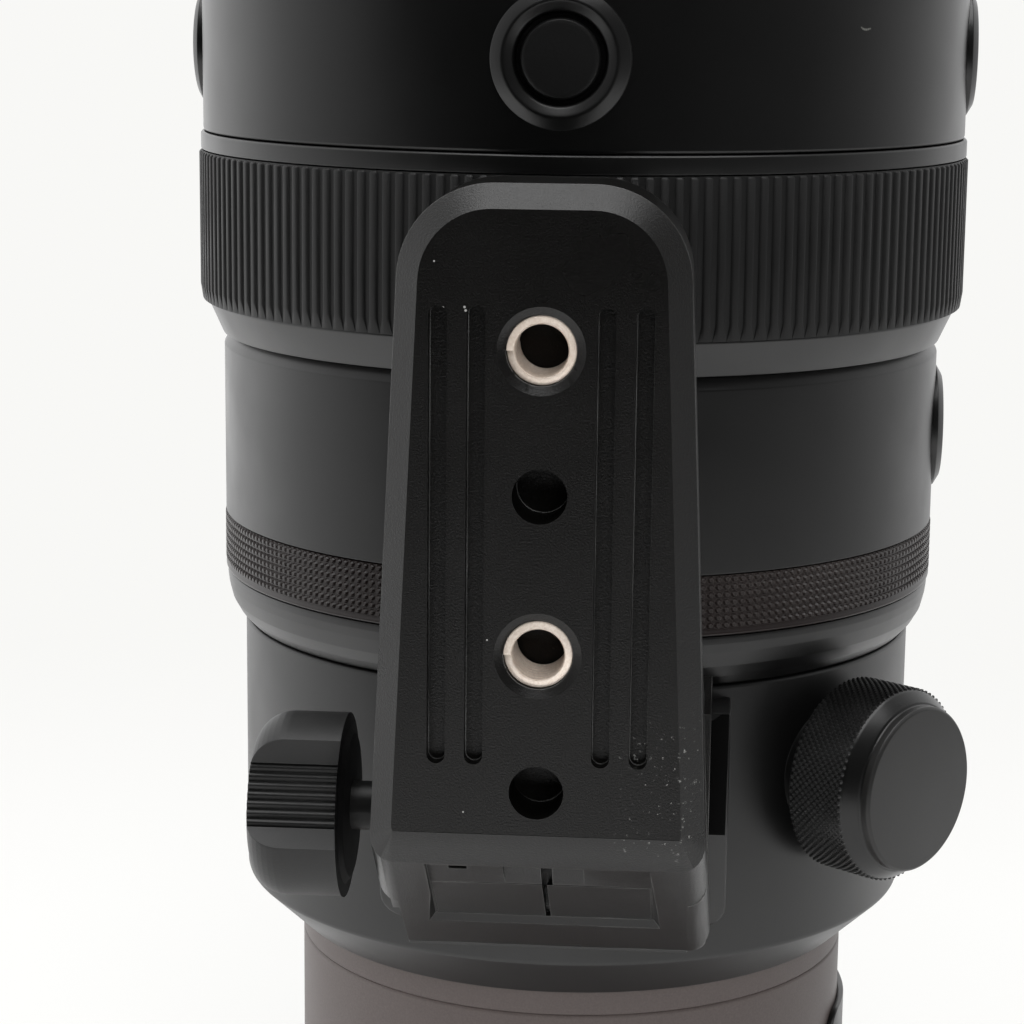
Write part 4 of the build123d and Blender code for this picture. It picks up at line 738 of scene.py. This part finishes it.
lockFace = turnOutline("lockFace", lockShape["face"], 0.12, 144)
standOn(lockFace, lockFrame)
handOver(lockFace, "lock", "lock_knob", "knobFace")


# buttons, whose outlines rise from the barrel's wall

buttonShape = {
    "cap": [(0, -2.75), (2.0, -2.75), (2.0, -0.75), (4.75, -0.75), (4.85, 0.15), (4.6, 0.53), (4.2, 0.63),
            (2.2, 0.65), (0, 0.65)],
    "bezel": [(5.4, -1.68), (8.5, -1.68), (8.5, 0.1), (7.15, 0.89), (6.9, 0.95), (6.65, 0.85),
              (5.85, 0.45), (5.6, 0.15), (5.4, -0.9)]}


def makeButton(name, node, body, bearing, spot):
    cap = turnOutline(name, buttonShape["cap"], 0.08, 96)
    standOn(cap, wallFrame(bearing, *spot))
    handOver(cap, body, node, "knobPlastic")


def makeBezel(name, bearing, spot):
    return standOn(turnOutline(name, buttonShape["bezel"], 0.1, 120), wallFrame(bearing, *spot))


makeButton("midButton", "mid_button", "mid_press", 90, buttonSpots["mid"])
for k in range(4):
    makeButton(f"frontButton{k + 1}", f"front_button_{k + 1}", f"front_press_{k + 1}", 90 * k,
               buttonSpots["front"])
buttonBezels = joinUp([makeBezel("buttonBezels", 90, buttonSpots["mid"])]
                      + [makeBezel("bezel", 90 * k, buttonSpots["front"]) for k in range(4)])
handOver(buttonBezels, "lens_body", "button_bezels", "ringBlack")
print("stage: knobs and buttons made")


# tripod foot

footShape = {
    "face": 80.0, "back": 54.75, "plateInner": 66.5, "slope": [(54.7, 62.6), (80.0, 82.5)],
    "blend": (57.5, 97.0, 9.0), "frontHalf": 16.15, "rearHalf": 20.65, "top": 160.0, "low": 60.1,
    "cornerRadius": 11.0, "rim": 2.7,
    "slotX": [-11.64, -7.32, 7.32, 11.64], "slotWidth": 2.1, "slotMiddle": 120.0, "slotLength": 53.0,
    "slotDepth": 1.8, "threads": [106.5, 141.5], "pinHoles": [90.3, 125.0], "sideRound": 2.8,
    "lip": [(19.9, 49.8), (14.58, 49.8), (14.58, 50.58), (17.66, 53.66), (17.66, 68.0), (19.9, 68.0)],
    "lipSide": [(49.0, 62.6), (54.75, 62.6), (82.0, 84.08), (82.0, 99.0), (49.0, 99.0)], "lipLength": 37.0,
    "curl": 2.4, "jawRoom": [(8, 12.5, 50), (-21.6, -60.25, 82)], "bore": (4.02, 70.7),
    "mouth": (4.0, 79.3, 5.1), "pinHole": (3.15, 73.0)}
(slopeStart, slopeLow), (slopeEnd, slopeHigh) = footShape["slope"]
slopeRun, slopeRise = slopeEnd - slopeStart, slopeHigh - slopeLow
slopeOut = Vector((0, -slopeRise, -slopeRun)).normalized()


def makeFoot(shape):
    half, wide, top, low = shape["frontHalf"], shape["rearHalf"], shape["top"], shape["low"]
    corner = shape["cornerRadius"]
    plan = [(-wide, low), (wide, low)]
    lean = math.atan2(wide - half, top - low)
    for side in (1, -1):
        centre = (side * (half - corner + (corner * (1 / math.cos(lean) - 1)) + corner * math.tan(lean)),
                  top - corner)
        turns = [k / 16 for k in range(17)]
        if side < 0:
            turns.reverse()
        for t in turns:
            angle = lean + (math.pi / 2 - lean) * t
            plan.append((centre[0] + side * corner * math.cos(angle), centre[1] + corner * math.sin(angle)))
    foot = pullOutline("tripodFoot", [(x, -shape["face"], z) for x, z in plan],
                       (0, shape["face"] - shape["back"], 0))
    start, height, radius = shape["blend"]
    blend = []
    for k in range(8, -1, -1):
        angle = math.pi / 2 * k / 8
        blend.append((start + radius * math.sin(angle), height + radius * (1 - math.cos(angle))))
    back, clear = shape["back"], shape["face"] + 0.5
    side = [(clear, top + 2), (shape["plateInner"], top + 2)] + blend + [
        (back, height), (back, slopeLow), (slopeEnd, slopeHigh), (clear, slopeHigh + 0.4)]
    sideSolid = sideBlock("sideSolid", side, 30)
    workWith(foot, [sideSolid], 'INTERSECT')
    bevelEdges(foot, shape["sideRound"], 6, lambda a, b: a.dot(slopeOut) > 0.98 and abs(b.x) > 0.95)
    bevelEdges(foot, shape["rim"], 1, lambda a, b: a.y < -0.99 and b.y > -0.98)
    workWith(foot, [brick("jawRoom", *shape["jawRoom"])])
    lip = pullOutline("lip", [(x, -d, 60.0) for x, d in shape["lip"]], (0, 0, shape["lipLength"]))
    lipSide = pullOutline("lipSide", [(0, -d, z) for d, z in shape["lipSide"]], (30, 0, 0))
    workWith(lip, [lipSide], 'INTERSECT')
    bevelEdges(lip, shape["curl"], 6, lambda a, b: a.dot(slopeOut) > 0.98 and b.x > 0.9)
    workWith(foot, [lip], 'UNION')
    for x in shape["slotX"]:
        slot = slotDrum("slot", shape["slotWidth"], shape["slotLength"], 80 - shape["slotDepth"], 82)
        place = wallFrame(0, 0, shape["slotMiddle"]) @ Matrix.Translation((x * mm, 0, 0))
        workWith(foot, [standOn(slot, place)])
    for z in shape["threads"]:
        bore = drum("bore", *shape["bore"], 82)
        mouth = drum("mouth", *shape["mouth"][:2], 80.05, top=shape["mouth"][2])
        workWith(foot, [standOn(piece, wallFrame(0, 0, z)) for piece in (bore, mouth)])
    for z in shape["pinHoles"]:
        workWith(foot, [standOn(drum("pinHole", *shape["pinHole"], 82), wallFrame(0, 0, z))])
    return foot


def slopeHeight(distance):
    return slopeHigh - slopeRise * (slopeEnd - distance) / slopeRun


def slopeFrame(distance):
    across = Vector((1, 0, 0))
    spot = Vector((0, -distance, slopeHeight(distance))) * mm
    return Matrix.Translation(spot) @ Matrix((across, slopeOut.cross(across), slopeOut)).transposed().to_4x4()


foot = makeFoot(footShape)
windowShape = {
    "half": 14.3, "low": 62.1, "high": 77.3, "lowDepth": 0.75, "highDepth": 1.0, "plateHigh": 70.7,
    "plateThick": 0.6, "plateHalf": 13.15, "slot": (-4.2, 9.5, 70.9, 75.4, 1.0),
    "eye": (0.85, 73.0, 1.3, 5.7, 3.6), "slit": (0.5, 66.2, 0.6, 12.4, 2.6),
    "dash": (-9.6, 74.7, 2.2, 1.0, 1.7), "pad": [(63.2, 1.0), (68.4, 1.0), (67.6, 2.3), (63.2, 2.3)],
    "padHalf": 9.8}


# a block sunk in the sloping rear end: centre across, distance, size across, size along, depth
def slopeBlock(name, spot):
    across, distance, width, length, depth = spot
    block = brick(name, (width, length, depth + 3), (across, 0, (3 - depth) / 2))
    return standOn(block, slopeFrame(distance))


def sunk(distance, depth):
    spot = Vector((0, -distance, slopeHeight(distance))) - slopeOut * depth
    return (-spot.y, spot.z)


def floorDepth(shape, distance):
    share = (distance - shape["low"]) / (shape["high"] - shape["low"])
    return shape["lowDepth"] + (shape["highDepth"] - shape["lowDepth"]) * share


# side view of the latch's plate, or of its room with some spare
def plateOutline(shape, spare):
    high, low = shape["plateHigh"] + spare, shape["low"] - spare
    outerHigh = sunk(high, floorDepth(shape, high))
    thick = shape["plateThick"] + spare
    innerHigh = (outerHigh[0] - thick / 0.618, outerHigh[1])
    innerLow = sunk(low, floorDepth(shape, low) + thick)
    if spare:
        return [sunk(low, -0.5), sunk(high, -0.5), outerHigh, innerHigh, innerLow]
    return [sunk(low, floorDepth(shape, low)), outerHigh, innerHigh, innerLow]


# the window's shallow floor, between walls that lean outward
def windowCutter(shape):
    low, high, half = shape["low"], shape["high"], shape["half"]
    side = [sunk(high, -1), sunk(high, shape["highDepth"]), sunk(low, shape["lowDepth"]), sunk(low - 0.9, 0),
            sunk(low - 0.9, -1)]
    cutter = sideBlock("windowCut", side, half)
    for vertex in cutter.data.vertices:
        depth = (Vector((0, -slopeEnd, slopeHigh)) * mm - vertex.co).dot(slopeOut) / mm
        vertex.co.x -= math.copysign(depth * 1.1 * mm, vertex.co.x)
    return cutter


# the cross recess is deep at its upper edge and runs out downward
def slotCutter(shape):
    left, width, low, high, drop = shape["slot"]
    side = [sunk(high, 0), sunk(high, floorDepth(shape, high) + drop), sunk(low, floorDepth(shape, low)),
            sunk(low, 0)]
    return pullOutline("slotCut", [(left, -d, z) for d, z in side], (width, 0, 0))


rooms = {
    "latchRoom": {"side": [(62.65, 66), (70.3, 72.5), (70.3, 78.2), (62.65, 78.2)], "half": 10.15},
    "armRoom": {"side": [(54.0, 75.5), (63.0, 75.5), (63.0, 78.2), (59.5, 78.2), (59.5, 89.2), (54.0, 89.2)],
                "half": 4.65},
}
workWith(foot, [windowCutter(windowShape),
                sideBlock("plateRoom", plateOutline(windowShape, 0.03), windowShape["plateHalf"] + 0.03)]
         + [sideBlock(name, room["side"], room["half"]) for name, room in rooms.items()]
         + [slotCutter(windowShape), slopeBlock("eyeCut", windowShape["eye"]),
            slopeBlock("dashCut", windowShape["dash"])])
roundEdges(foot, 0.16, 2, 28, 40)
evenShade(foot, 40)
handOver(foot, "foot", "tripod_foot", "footPowder")


insertShape = {
    "wire": [(3.97, 0), (3.97, 0.88), (3.82, 1.02), (3.14, 1.02), (3.0, 0.8), (3.0, 0.4), (3.4, 0.0)],
    "pitch": 1.1, "turns": 7, "steps": 48, "floor": 71.0}


# a wire thread insert: a coil of steel wire in its bore
def wireInsert(shape, height):
    coil = windUp(drawLine("wire", [(r, 0, z) for r, z in shape["wire"]]), shape["pitch"], shape["turns"],
                  shape["steps"])
    sunkIn = Matrix.Translation((0, 0, shape["floor"] * mm)) @ Matrix.Rotation(math.pi, 4, 'Z')
    return standOn(coil, wallFrame(0, 0, height) @ sunkIn)


coils = [wireInsert(insertShape, z) for z in footShape["threads"]]
inserts = joinUp(coils)
inserts.name = "wireInserts"
smoothOver(inserts, 50)
handOver(inserts, "foot", "foot_inserts", "insertSteel")

latch = roundedCopy("release_latch", "releaseLatch", 0.15)
plate = sideBlock("latchPlate", plateOutline(windowShape, 0), windowShape["plateHalf"])
pad = sideBlock("latchPad", [sunk(*spot) for spot in windowShape["pad"]], windowShape["padHalf"])
for piece in (latch, plate, pad):
    workWith(piece, [slopeBlock("slitCut", windowShape["slit"])])
joinUp([latch, plate, pad])
evenShade(latch)
handOver(latch, "latch", "release_latch", "footPowder")
jaw = roundedCopy("clamp_jaw", "clampJaw", 0.05)
workWith(jaw, [brick("jawSide", (10, 30, 60), (-25.1, -60, 80))])
bevelEdges(jaw, footShape["curl"], 6, lambda a, b: a.dot(slopeOut) > 0.98 and b.x < -0.9)
roundEdges(jaw, 0.25, 2, 35)
evenShade(jaw, 40)
handOver(jaw, "jaw", "clamp_jaw", "footPowder")
print("stage: foot made")


# clamp knob: a domed drum with three fluted hollows

clampShape = {
    "outline": [(0, 23.95), (8.8, 23.95), (9.7, 24.5), (11.4, 24.6), (11.4, 31.4)], "domeRadius": 6.8,
    "domeStart": 31.4, "dome": 4.6, "hollows": 3, "restAngle": 24, "floor": 7.3, "floorHalf": 3.9,
    "mouth": 13.4, "mouthHalf": 12.0, "flutes": 7, "flutePitch": 1.12, "fluteDepth": 0.42, "base": 24.62,
    "end": 36.0}


# plan of one hollow: sloping sides and a fluted floor
def hollowPlan(shape):
    floor, low, mouth, high = shape["floor"], shape["floorHalf"], shape["mouth"], shape["mouthHalf"]
    plan = [(mouth, -high), (floor, -low)]
    start = -shape["flutes"] * shape["flutePitch"] / 2
    for k in range(shape["flutes"] * 6 + 1):
        rise = shape["fluteDepth"] * (abs(math.sin(math.pi * k / 6)) - 1)
        plan.append((floor + rise, start + shape["flutePitch"] * k / 6))
    return [(x, y, shape["base"]) for x, y in plan + [(floor, low), (mouth, high)]]


def makeClampKnob(shape):
    dome = []
    for k in range(1, 10):
        angle = math.pi / 2 * k / 9
        dome.append((shape["domeRadius"] + shape["dome"] * math.cos(angle),
                     shape["domeStart"] + shape["dome"] * math.sin(angle)))
    knob = turnOutline("clampKnob", shape["outline"] + dome + [(0, shape["end"])], 0.1, 144)
    for k in range(shape["hollows"]):
        swing = Matrix.Rotation(math.radians(shape["restAngle"]) + k * fullTurn / shape["hollows"], 4, 'Z')
        workWith(knob, [standOn(pullOutline("hollow", hollowPlan(shape), (0, 0, 14)), swing)])
    roundEdges(knob, 0.1, 2, 60, 40)
    return evenShade(knob, 40)


clampKnob = makeClampKnob(clampShape)
clampFrame = Matrix.Translation(Vector((0, -60.3, 82.0)) * mm) @ Matrix(
    (Vector((0, -1, 0)), Vector((0, 0, 1)), Vector((-1, 0, 0)))).transposed().to_4x4()
standOn(clampKnob, clampFrame)
handOver(clampKnob, "clamp", "clamp_knob", "knobPlastic")


# front end: filter ring with its thread, retaining ring and glass

filterShape = {
    "outline": [(46.2, 267.02), (49.78, 267.02), (49.78, 267.75), (52.75, 267.75), (52.9, 267.95),
    (52.9, 272.25), (52.0, 272.25), (52.0, 275.25), (52.9, 275.25), (52.9, 276.95), (52.1, 277.75),
    (48.0, 277.75), (47.2, 276.95), (47.2, 269.95), (46.2, 269.95)], "threadPitch": 1.0, "threadTurns": 5,
    "ridge": [(47.25, 0, 270.3), (46.85, 0, 270.75), (47.25, 0, 271.2)]}
filterRing = turnOutline("filterRing", filterShape["outline"], 0.12, 288)
threadRidge = windUp(drawLine("threadRidge", filterShape["ridge"]), filterShape["threadPitch"],
                     filterShape["threadTurns"], 180)
joinUp([filterRing, threadRidge])
smoothOver(filterRing)
handOver(filterRing, "lens_body", "filter_ring", "barrelBlack")

retainerShape = {
    "outline": [(43.98, 260.2), (46.36, 259.1), (46.36, 263.0), (44.6, 263.0), (43.98, 262.4)],
    "soft": 0.1, "steps": 240}
retainer = turnPiece("frontRetainer", retainerShape)
for bearing in (60, 240):
    workWith(retainer, [standOn(brick("notch", (2.4, 1.2, 3.0), (0, 263.2, 45.4)), wallFrame(bearing, 0, 0))])
smoothOver(retainer)
handOver(retainer, "lens_body", "front_retainer", "innerBlack")


def glassOutline(radius, low, high, lowSag, highSag, steps=14):
    def rise(sag, r):
        if not sag:
            return 0
        sphere = (radius ** 2 + sag ** 2) / (2 * abs(sag))
        return math.copysign(math.sqrt(sphere ** 2 - r ** 2) - math.sqrt(sphere ** 2 - radius ** 2), sag)
    spots = [radius * k / steps for k in range(steps + 1)]
    bottom = [(r, low - rise(lowSag, r)) for r in spots]
    top = [(r, high + rise(highSag, r)) for r in reversed(spots)]
    return bottom + top


glasses = {
    "frontGlass": {"node": "front_element", "form": (46.36, 250.0, 259.0, -1.8, 3.6), "steps": 192},
    "secondGlass": {"node": "second_element", "form": (44.36, 230.0, 237.0, 2.4, 2.4), "steps": 160},
    "rearGlass": {"node": "rear_element", "form": (20.18, 5.0, 10.0, -1.6, 1.6), "steps": 128},
}
for name, glass in glasses.items():
    piece = turnOutline(name, glassOutline(*glass["form"]), 0, glass["steps"])
    handOver(piece, "lens_body", glass["node"], name if name in paint else "innerGlass")
print("stage: front end made")


# mount end

mountShape = {
    "outline": [(24.0, -5.6), (25.9, -5.6), (26.2, -5.3), (26.2, 0), (32.2, 0), (32.5, 0.3), (32.5, 3.0),
    (24.0, 3.0)], "lugs": 3, "lugArc": 52, "lugBearing": 20, "lug": [(25.6, -5.6), (27.5, -5.6),
    (27.7, -5.4), (27.7, -3.9), (27.5, -3.7), (25.6, -3.7)], "screwBearings": [45, 135, 225, 315],
    "screwCircle": 29.6, "lockBearing": -70}
mount = turnOutline("bayonetMount", mountShape["outline"], 0.15, 240)
lugs = []
for k in range(mountShape["lugs"]):
    lug = drawLine("lug", [(r, 0, z) for r, z in mountShape["lug"]])
    bpy.ops.mesh.spin(steps=26, angle=math.radians(mountShape["lugArc"]), center=(0, 0, 0), axis=(0, 0, 1))
    bpy.ops.mesh.select_all(action='SELECT')
    bpy.ops.mesh.fill_holes(sides=8)
    closeUp()
    start = mountShape["lugBearing"] + k * 120 - 90 - mountShape["lugArc"] / 2
    lugs.append(standOn(lug, Matrix.Rotation(math.radians(start), 4, 'Z')))


# a place on the mount's face, looking down from it
def downFrame(bearing):
    b = math.radians(bearing)
    spot = Vector((math.sin(b), -math.cos(b), 0)) * mountShape["screwCircle"] * mm
    return Matrix.Translation(spot) @ Matrix.Rotation(math.pi, 4, 'X')


for bearing in mountShape["screwBearings"]:
    workWith(mount, [standOn(drum("sink", 1.87, -1.2, 1.0, 40), downFrame(bearing))])
workWith(mount, [standOn(drum("lockHole", 1.7, -1.5, 1.0, 40), downFrame(mountShape["lockBearing"]))])
joinUp([mount] + lugs)
smoothOver(mount)
handOver(mount, "lens_body", "bayonet_mount", "mountChrome")

screwShape = {
    "outline": [(0, -4.6), (0.95, -4.6), (0.95, -1.2), (1.8, -1.2), (1.8, -0.2), (1.5, -0.02), (0, -0.02)],
    "soft": 0.05, "steps": 40, "cross": [(2.2, 0.42, 0.9), (0.42, 2.2, 0.9)]}
screwHeads = []
for bearing in mountShape["screwBearings"]:
    head = turnPiece("mountScrews", screwShape)
    workWith(head, [brick("slot", size, (0, 0, -0.1)) for size in screwShape["cross"]])
    screwHeads.append(standOn(head, downFrame(bearing)))
mountScrews = joinUp(screwHeads)
smoothOver(mountScrews)
handOver(mountScrews, "lens_body", "mount_screws", "screwSteel")

sealShape = {
    "outline": [(32.53, 3.0), (32.53, 0.0), (33.1, -0.7), (33.6, -0.7), (33.62, 3.0)], "soft": 0.12,
    "steps": 200}
seal = turnPiece("mountSeal", sealShape)
handOver(seal, "lens_body", "mount_gasket", "sealRubber")
print("stage: mount end made")


# switches and their panel

panel = roundedCopy("switch_panel", "switchPanel", 0.3)
handOver(panel, "lens_body", "switch_panel", "ringBlack")


switchShape = {
    "head": (4.4, 6.2, 1.3), "headLevel": 40.8, "ridges": 5, "ridge": (3.4, 0.5, 0.5), "ridgePitch": 1.05,
    "ridgeLevel": 41.4, "stem": (3.0, 4.6, 2.2), "stemLevel": 39.2, "plate": (4.8, 6.4, 0.8),
    "plateLevel": 38.5, "drop": 2.0}


def makeSwitch(shape, name, node, body, height):
    head = brick(name, shape["head"], (0, 0, shape["headLevel"]))
    roundEdges(head, 0.4, 3)
    ridges = []
    for k in range(shape["ridges"]):
        along = (k - (shape["ridges"] - 1) / 2) * shape["ridgePitch"]
        ridge = brick("ridge", shape["ridge"], (0, along, shape["ridgeLevel"]))
        ridges.append(roundEdges(ridge, 0.15, 2))
    stem = brick("stem", shape["stem"], (0, 0, shape["stemLevel"]))
    plate = brick("plate", shape["plate"], (0, 0, shape["plateLevel"]))
    joinUp([head] + ridges + [stem, plate])
    standOn(head, wallFrame(90, 0, height - shape["drop"]))
    handOver(head, body, node, "knobPlastic")


focusSwitchHeight, limitSwitchHeight = rearBarrelShape["switches"]
makeSwitch(switchShape, "focusModeSwitch", "focus_mode_switch", "focus_switch", focusSwitchHeight)
makeSwitch(switchShape, "limiterSwitch", "limiter_switch", "limit_switch", limitSwitchHeight)
print("stage: switches made")


# CAD nodes that stay get their finishes

kept = {
    "innerAlloy": ["cam_barrel", "guide_tube", "variator_cell", "iris_base", "iris_drive_ring"],
    "innerBlack": ["rear_cell", "focus_cell", "front_cell"] + [f"iris_blade_{k + 1}" for k in range(7)],
    "innerGlass": ["variator_lens", "focus_lens"],
    "screwSteel": ["collar_retainer", "lock_screw", "zoom_key", "focus_rods", "focus_magnet"],
    "darkSteel": ["clamp_screw"], "sealRubber": ["contact_block", "brake_shoe"],
    "contactGold": ["contact_pins", "variator_rollers"], "boardGreen": ["main_board"],
    "coilCopper": ["focus_coil"],
}
for finish, keptNodes in kept.items():
    for node in keptNodes:
        nodes[node].material_slots[0].material = paint[finish]


# studio

studio = {
    "floorHeight": -5.6, "floorRadius": 420.0, "white": (0.94, 0.938, 0.92), "shadowShare": 0.3,
    "floorTones": ((0.8, 0.798, 0.792), (0.83, 0.828, 0.822))}


# pale table, whose far edge melts into the room
def floorFinish():
    material, tree, shader = nodeKit("paleFloor")
    cloud = grain(tree, 6, 3).outputs['Fac']
    tone = blendTones(tree, spread(tree, cloud, 0.3, 0.7), *studio["floorTones"])
    feed(tree, shader, {'Base Color': tone, 'Roughness': spread(tree, cloud, 0.3, 0.7, (0.6, 0.7))})
    away = farFrom(tree, (0, 0, 0))
    share = spread(tree, away, 0.18, studio["floorRadius"] * 0.96 * mm, (1 - studio["shadowShare"], 1))
    ray = addNode(tree, 'LightPath')
    seen = combine(tree, 'MAXIMUM', ray.outputs['Is Camera Ray'], ray.outputs['Is Transmission Ray'])
    white = addNode(tree, 'Emission', {'Color': asColour(studio["white"])})
    mix = addNode(tree, 'MixShader', {'Fac': combine(tree, 'MULTIPLY', seen, share),
                                      1: shader.outputs['BSDF'], 2: white.outputs['Emission']})
    out = [node for node in tree.nodes if node.type == 'OUTPUT_MATERIAL'][0]
    feed(tree, out, {'Surface': mix.outputs['Shader']})
    return material


clearSelection()
bpy.ops.mesh.primitive_circle_add(vertices=128, radius=studio["floorRadius"] * mm, fill_type='NGON',
                                  location=(0, 0, studio["floorHeight"] * mm))
floor = named("floor")
bpy.ops.object.transform_apply()
floor.data.materials.append(floorFinish())


def stepCurve(tree, value, stops):
    ramp = addNode(tree, 'ValToRGB', {'Fac': value})
    ramp.color_ramp.interpolation = 'EASE'
    points = ramp.color_ramp.elements
    while len(points) < len(stops):
        points.new(0.5)
    for point, (spot, tone) in zip(points, stops):
        point.position = spot
        point.color = asColour(tone)
    return ramp.outputs['Color']


# a pale room: bright behind and at the left, dimmer at the right, dark in front
roomTones = {
    "left": [(0, 0), (0.1, 0.0), (0.18, 0.055), (0.33, 0.4), (0.53, 0.65), (0.7, 1.0), (1, 1.0)],
    "right": [(0, 0.01), (0.12, 0.046), (0.215, 0.1), (0.32, 0.1), (0.485, 0.24), (0.68, 0.43),
    (0.865, 0.67), (1, 0.82)], "strength": 1.4}


def roomLight():
    world = bpy.data.worlds.new("room")
    bpy.context.scene.world = world
    world.use_nodes = True
    tree = world.node_tree
    tree.nodes.clear()
    coords = addNode(tree, 'TexCoord').outputs['Generated']
    way = addNode(tree, 'SeparateXYZ', {'Vector': coords})
    backward = spread(tree, way.outputs['Y'], -1, 1)
    sideways = spread(tree, way.outputs['X'], -0.15, 0.15)
    tone = blendTones(tree, sideways, stepCurve(tree, backward, roomTones["left"]),
                      stepCurve(tree, backward, roomTones["right"]))
    room = addNode(tree, 'Background', {'Color': tone, 'Strength': roomTones["strength"]})
    seen = addNode(tree, 'Background', {'Color': asColour(studio["white"])})
    ray = addNode(tree, 'LightPath').outputs['Is Camera Ray']
    mix = addNode(tree, 'MixShader', {'Fac': ray, 1: room.outputs['Background'],
                                      2: seen.outputs['Background']})
    addNode(tree, 'OutputWorld', {'Surface': mix.outputs['Shader']})


roomLight()

lamps = {
    "overhead": {"at": (0.05, -0.1, 0.95), "aim": (0, 0, 0.1), "size": 0.75, "power": 5.5, "glossy": True},
    "leftPanel": {"at": (-0.9, 0.05, 0.3), "aim": (0, 0, 0.14), "size": 0.8, "power": 6.0, "glossy": False},
    "frontFill": {"at": (0.25, -1.3, 0.6), "aim": (0, 0, 0.14), "size": 0.9, "power": 14.0, "glossy": False},
}
for name, lamp in lamps.items():
    clearSelection()
    bpy.ops.object.light_add(type='AREA', location=lamp["at"])
    light = bpy.context.object
    light.name = name
    light.data.size = lamp["size"]
    light.data.energy = lamp["power"]
    light.visible_camera = False
    light.visible_glossy = lamp["glossy"]
    aim = Vector(lamp["aim"]) - Vector(lamp["at"])
    light.rotation_euler = aim.to_track_quat('-Z', 'Y').to_euler()

cameraSetup = {"at": (20.148, -378.134, 182.0), "turn": (78.8794, -0.5809, 4.5712), "lens": 94.94}
clearSelection()
bpy.ops.object.camera_add(location=Vector(cameraSetup["at"]) * mm,
                          rotation=[math.radians(a) for a in cameraSetup["turn"]])
camera = bpy.context.object
camera.data.sensor_width = 36
camera.data.lens = cameraSetup["lens"]
camera.data.clip_start = 0.01
bpy.context.scene.camera = camera
bpy.context.scene.view_settings.view_transform = 'Standard'
print("stage: studio set")
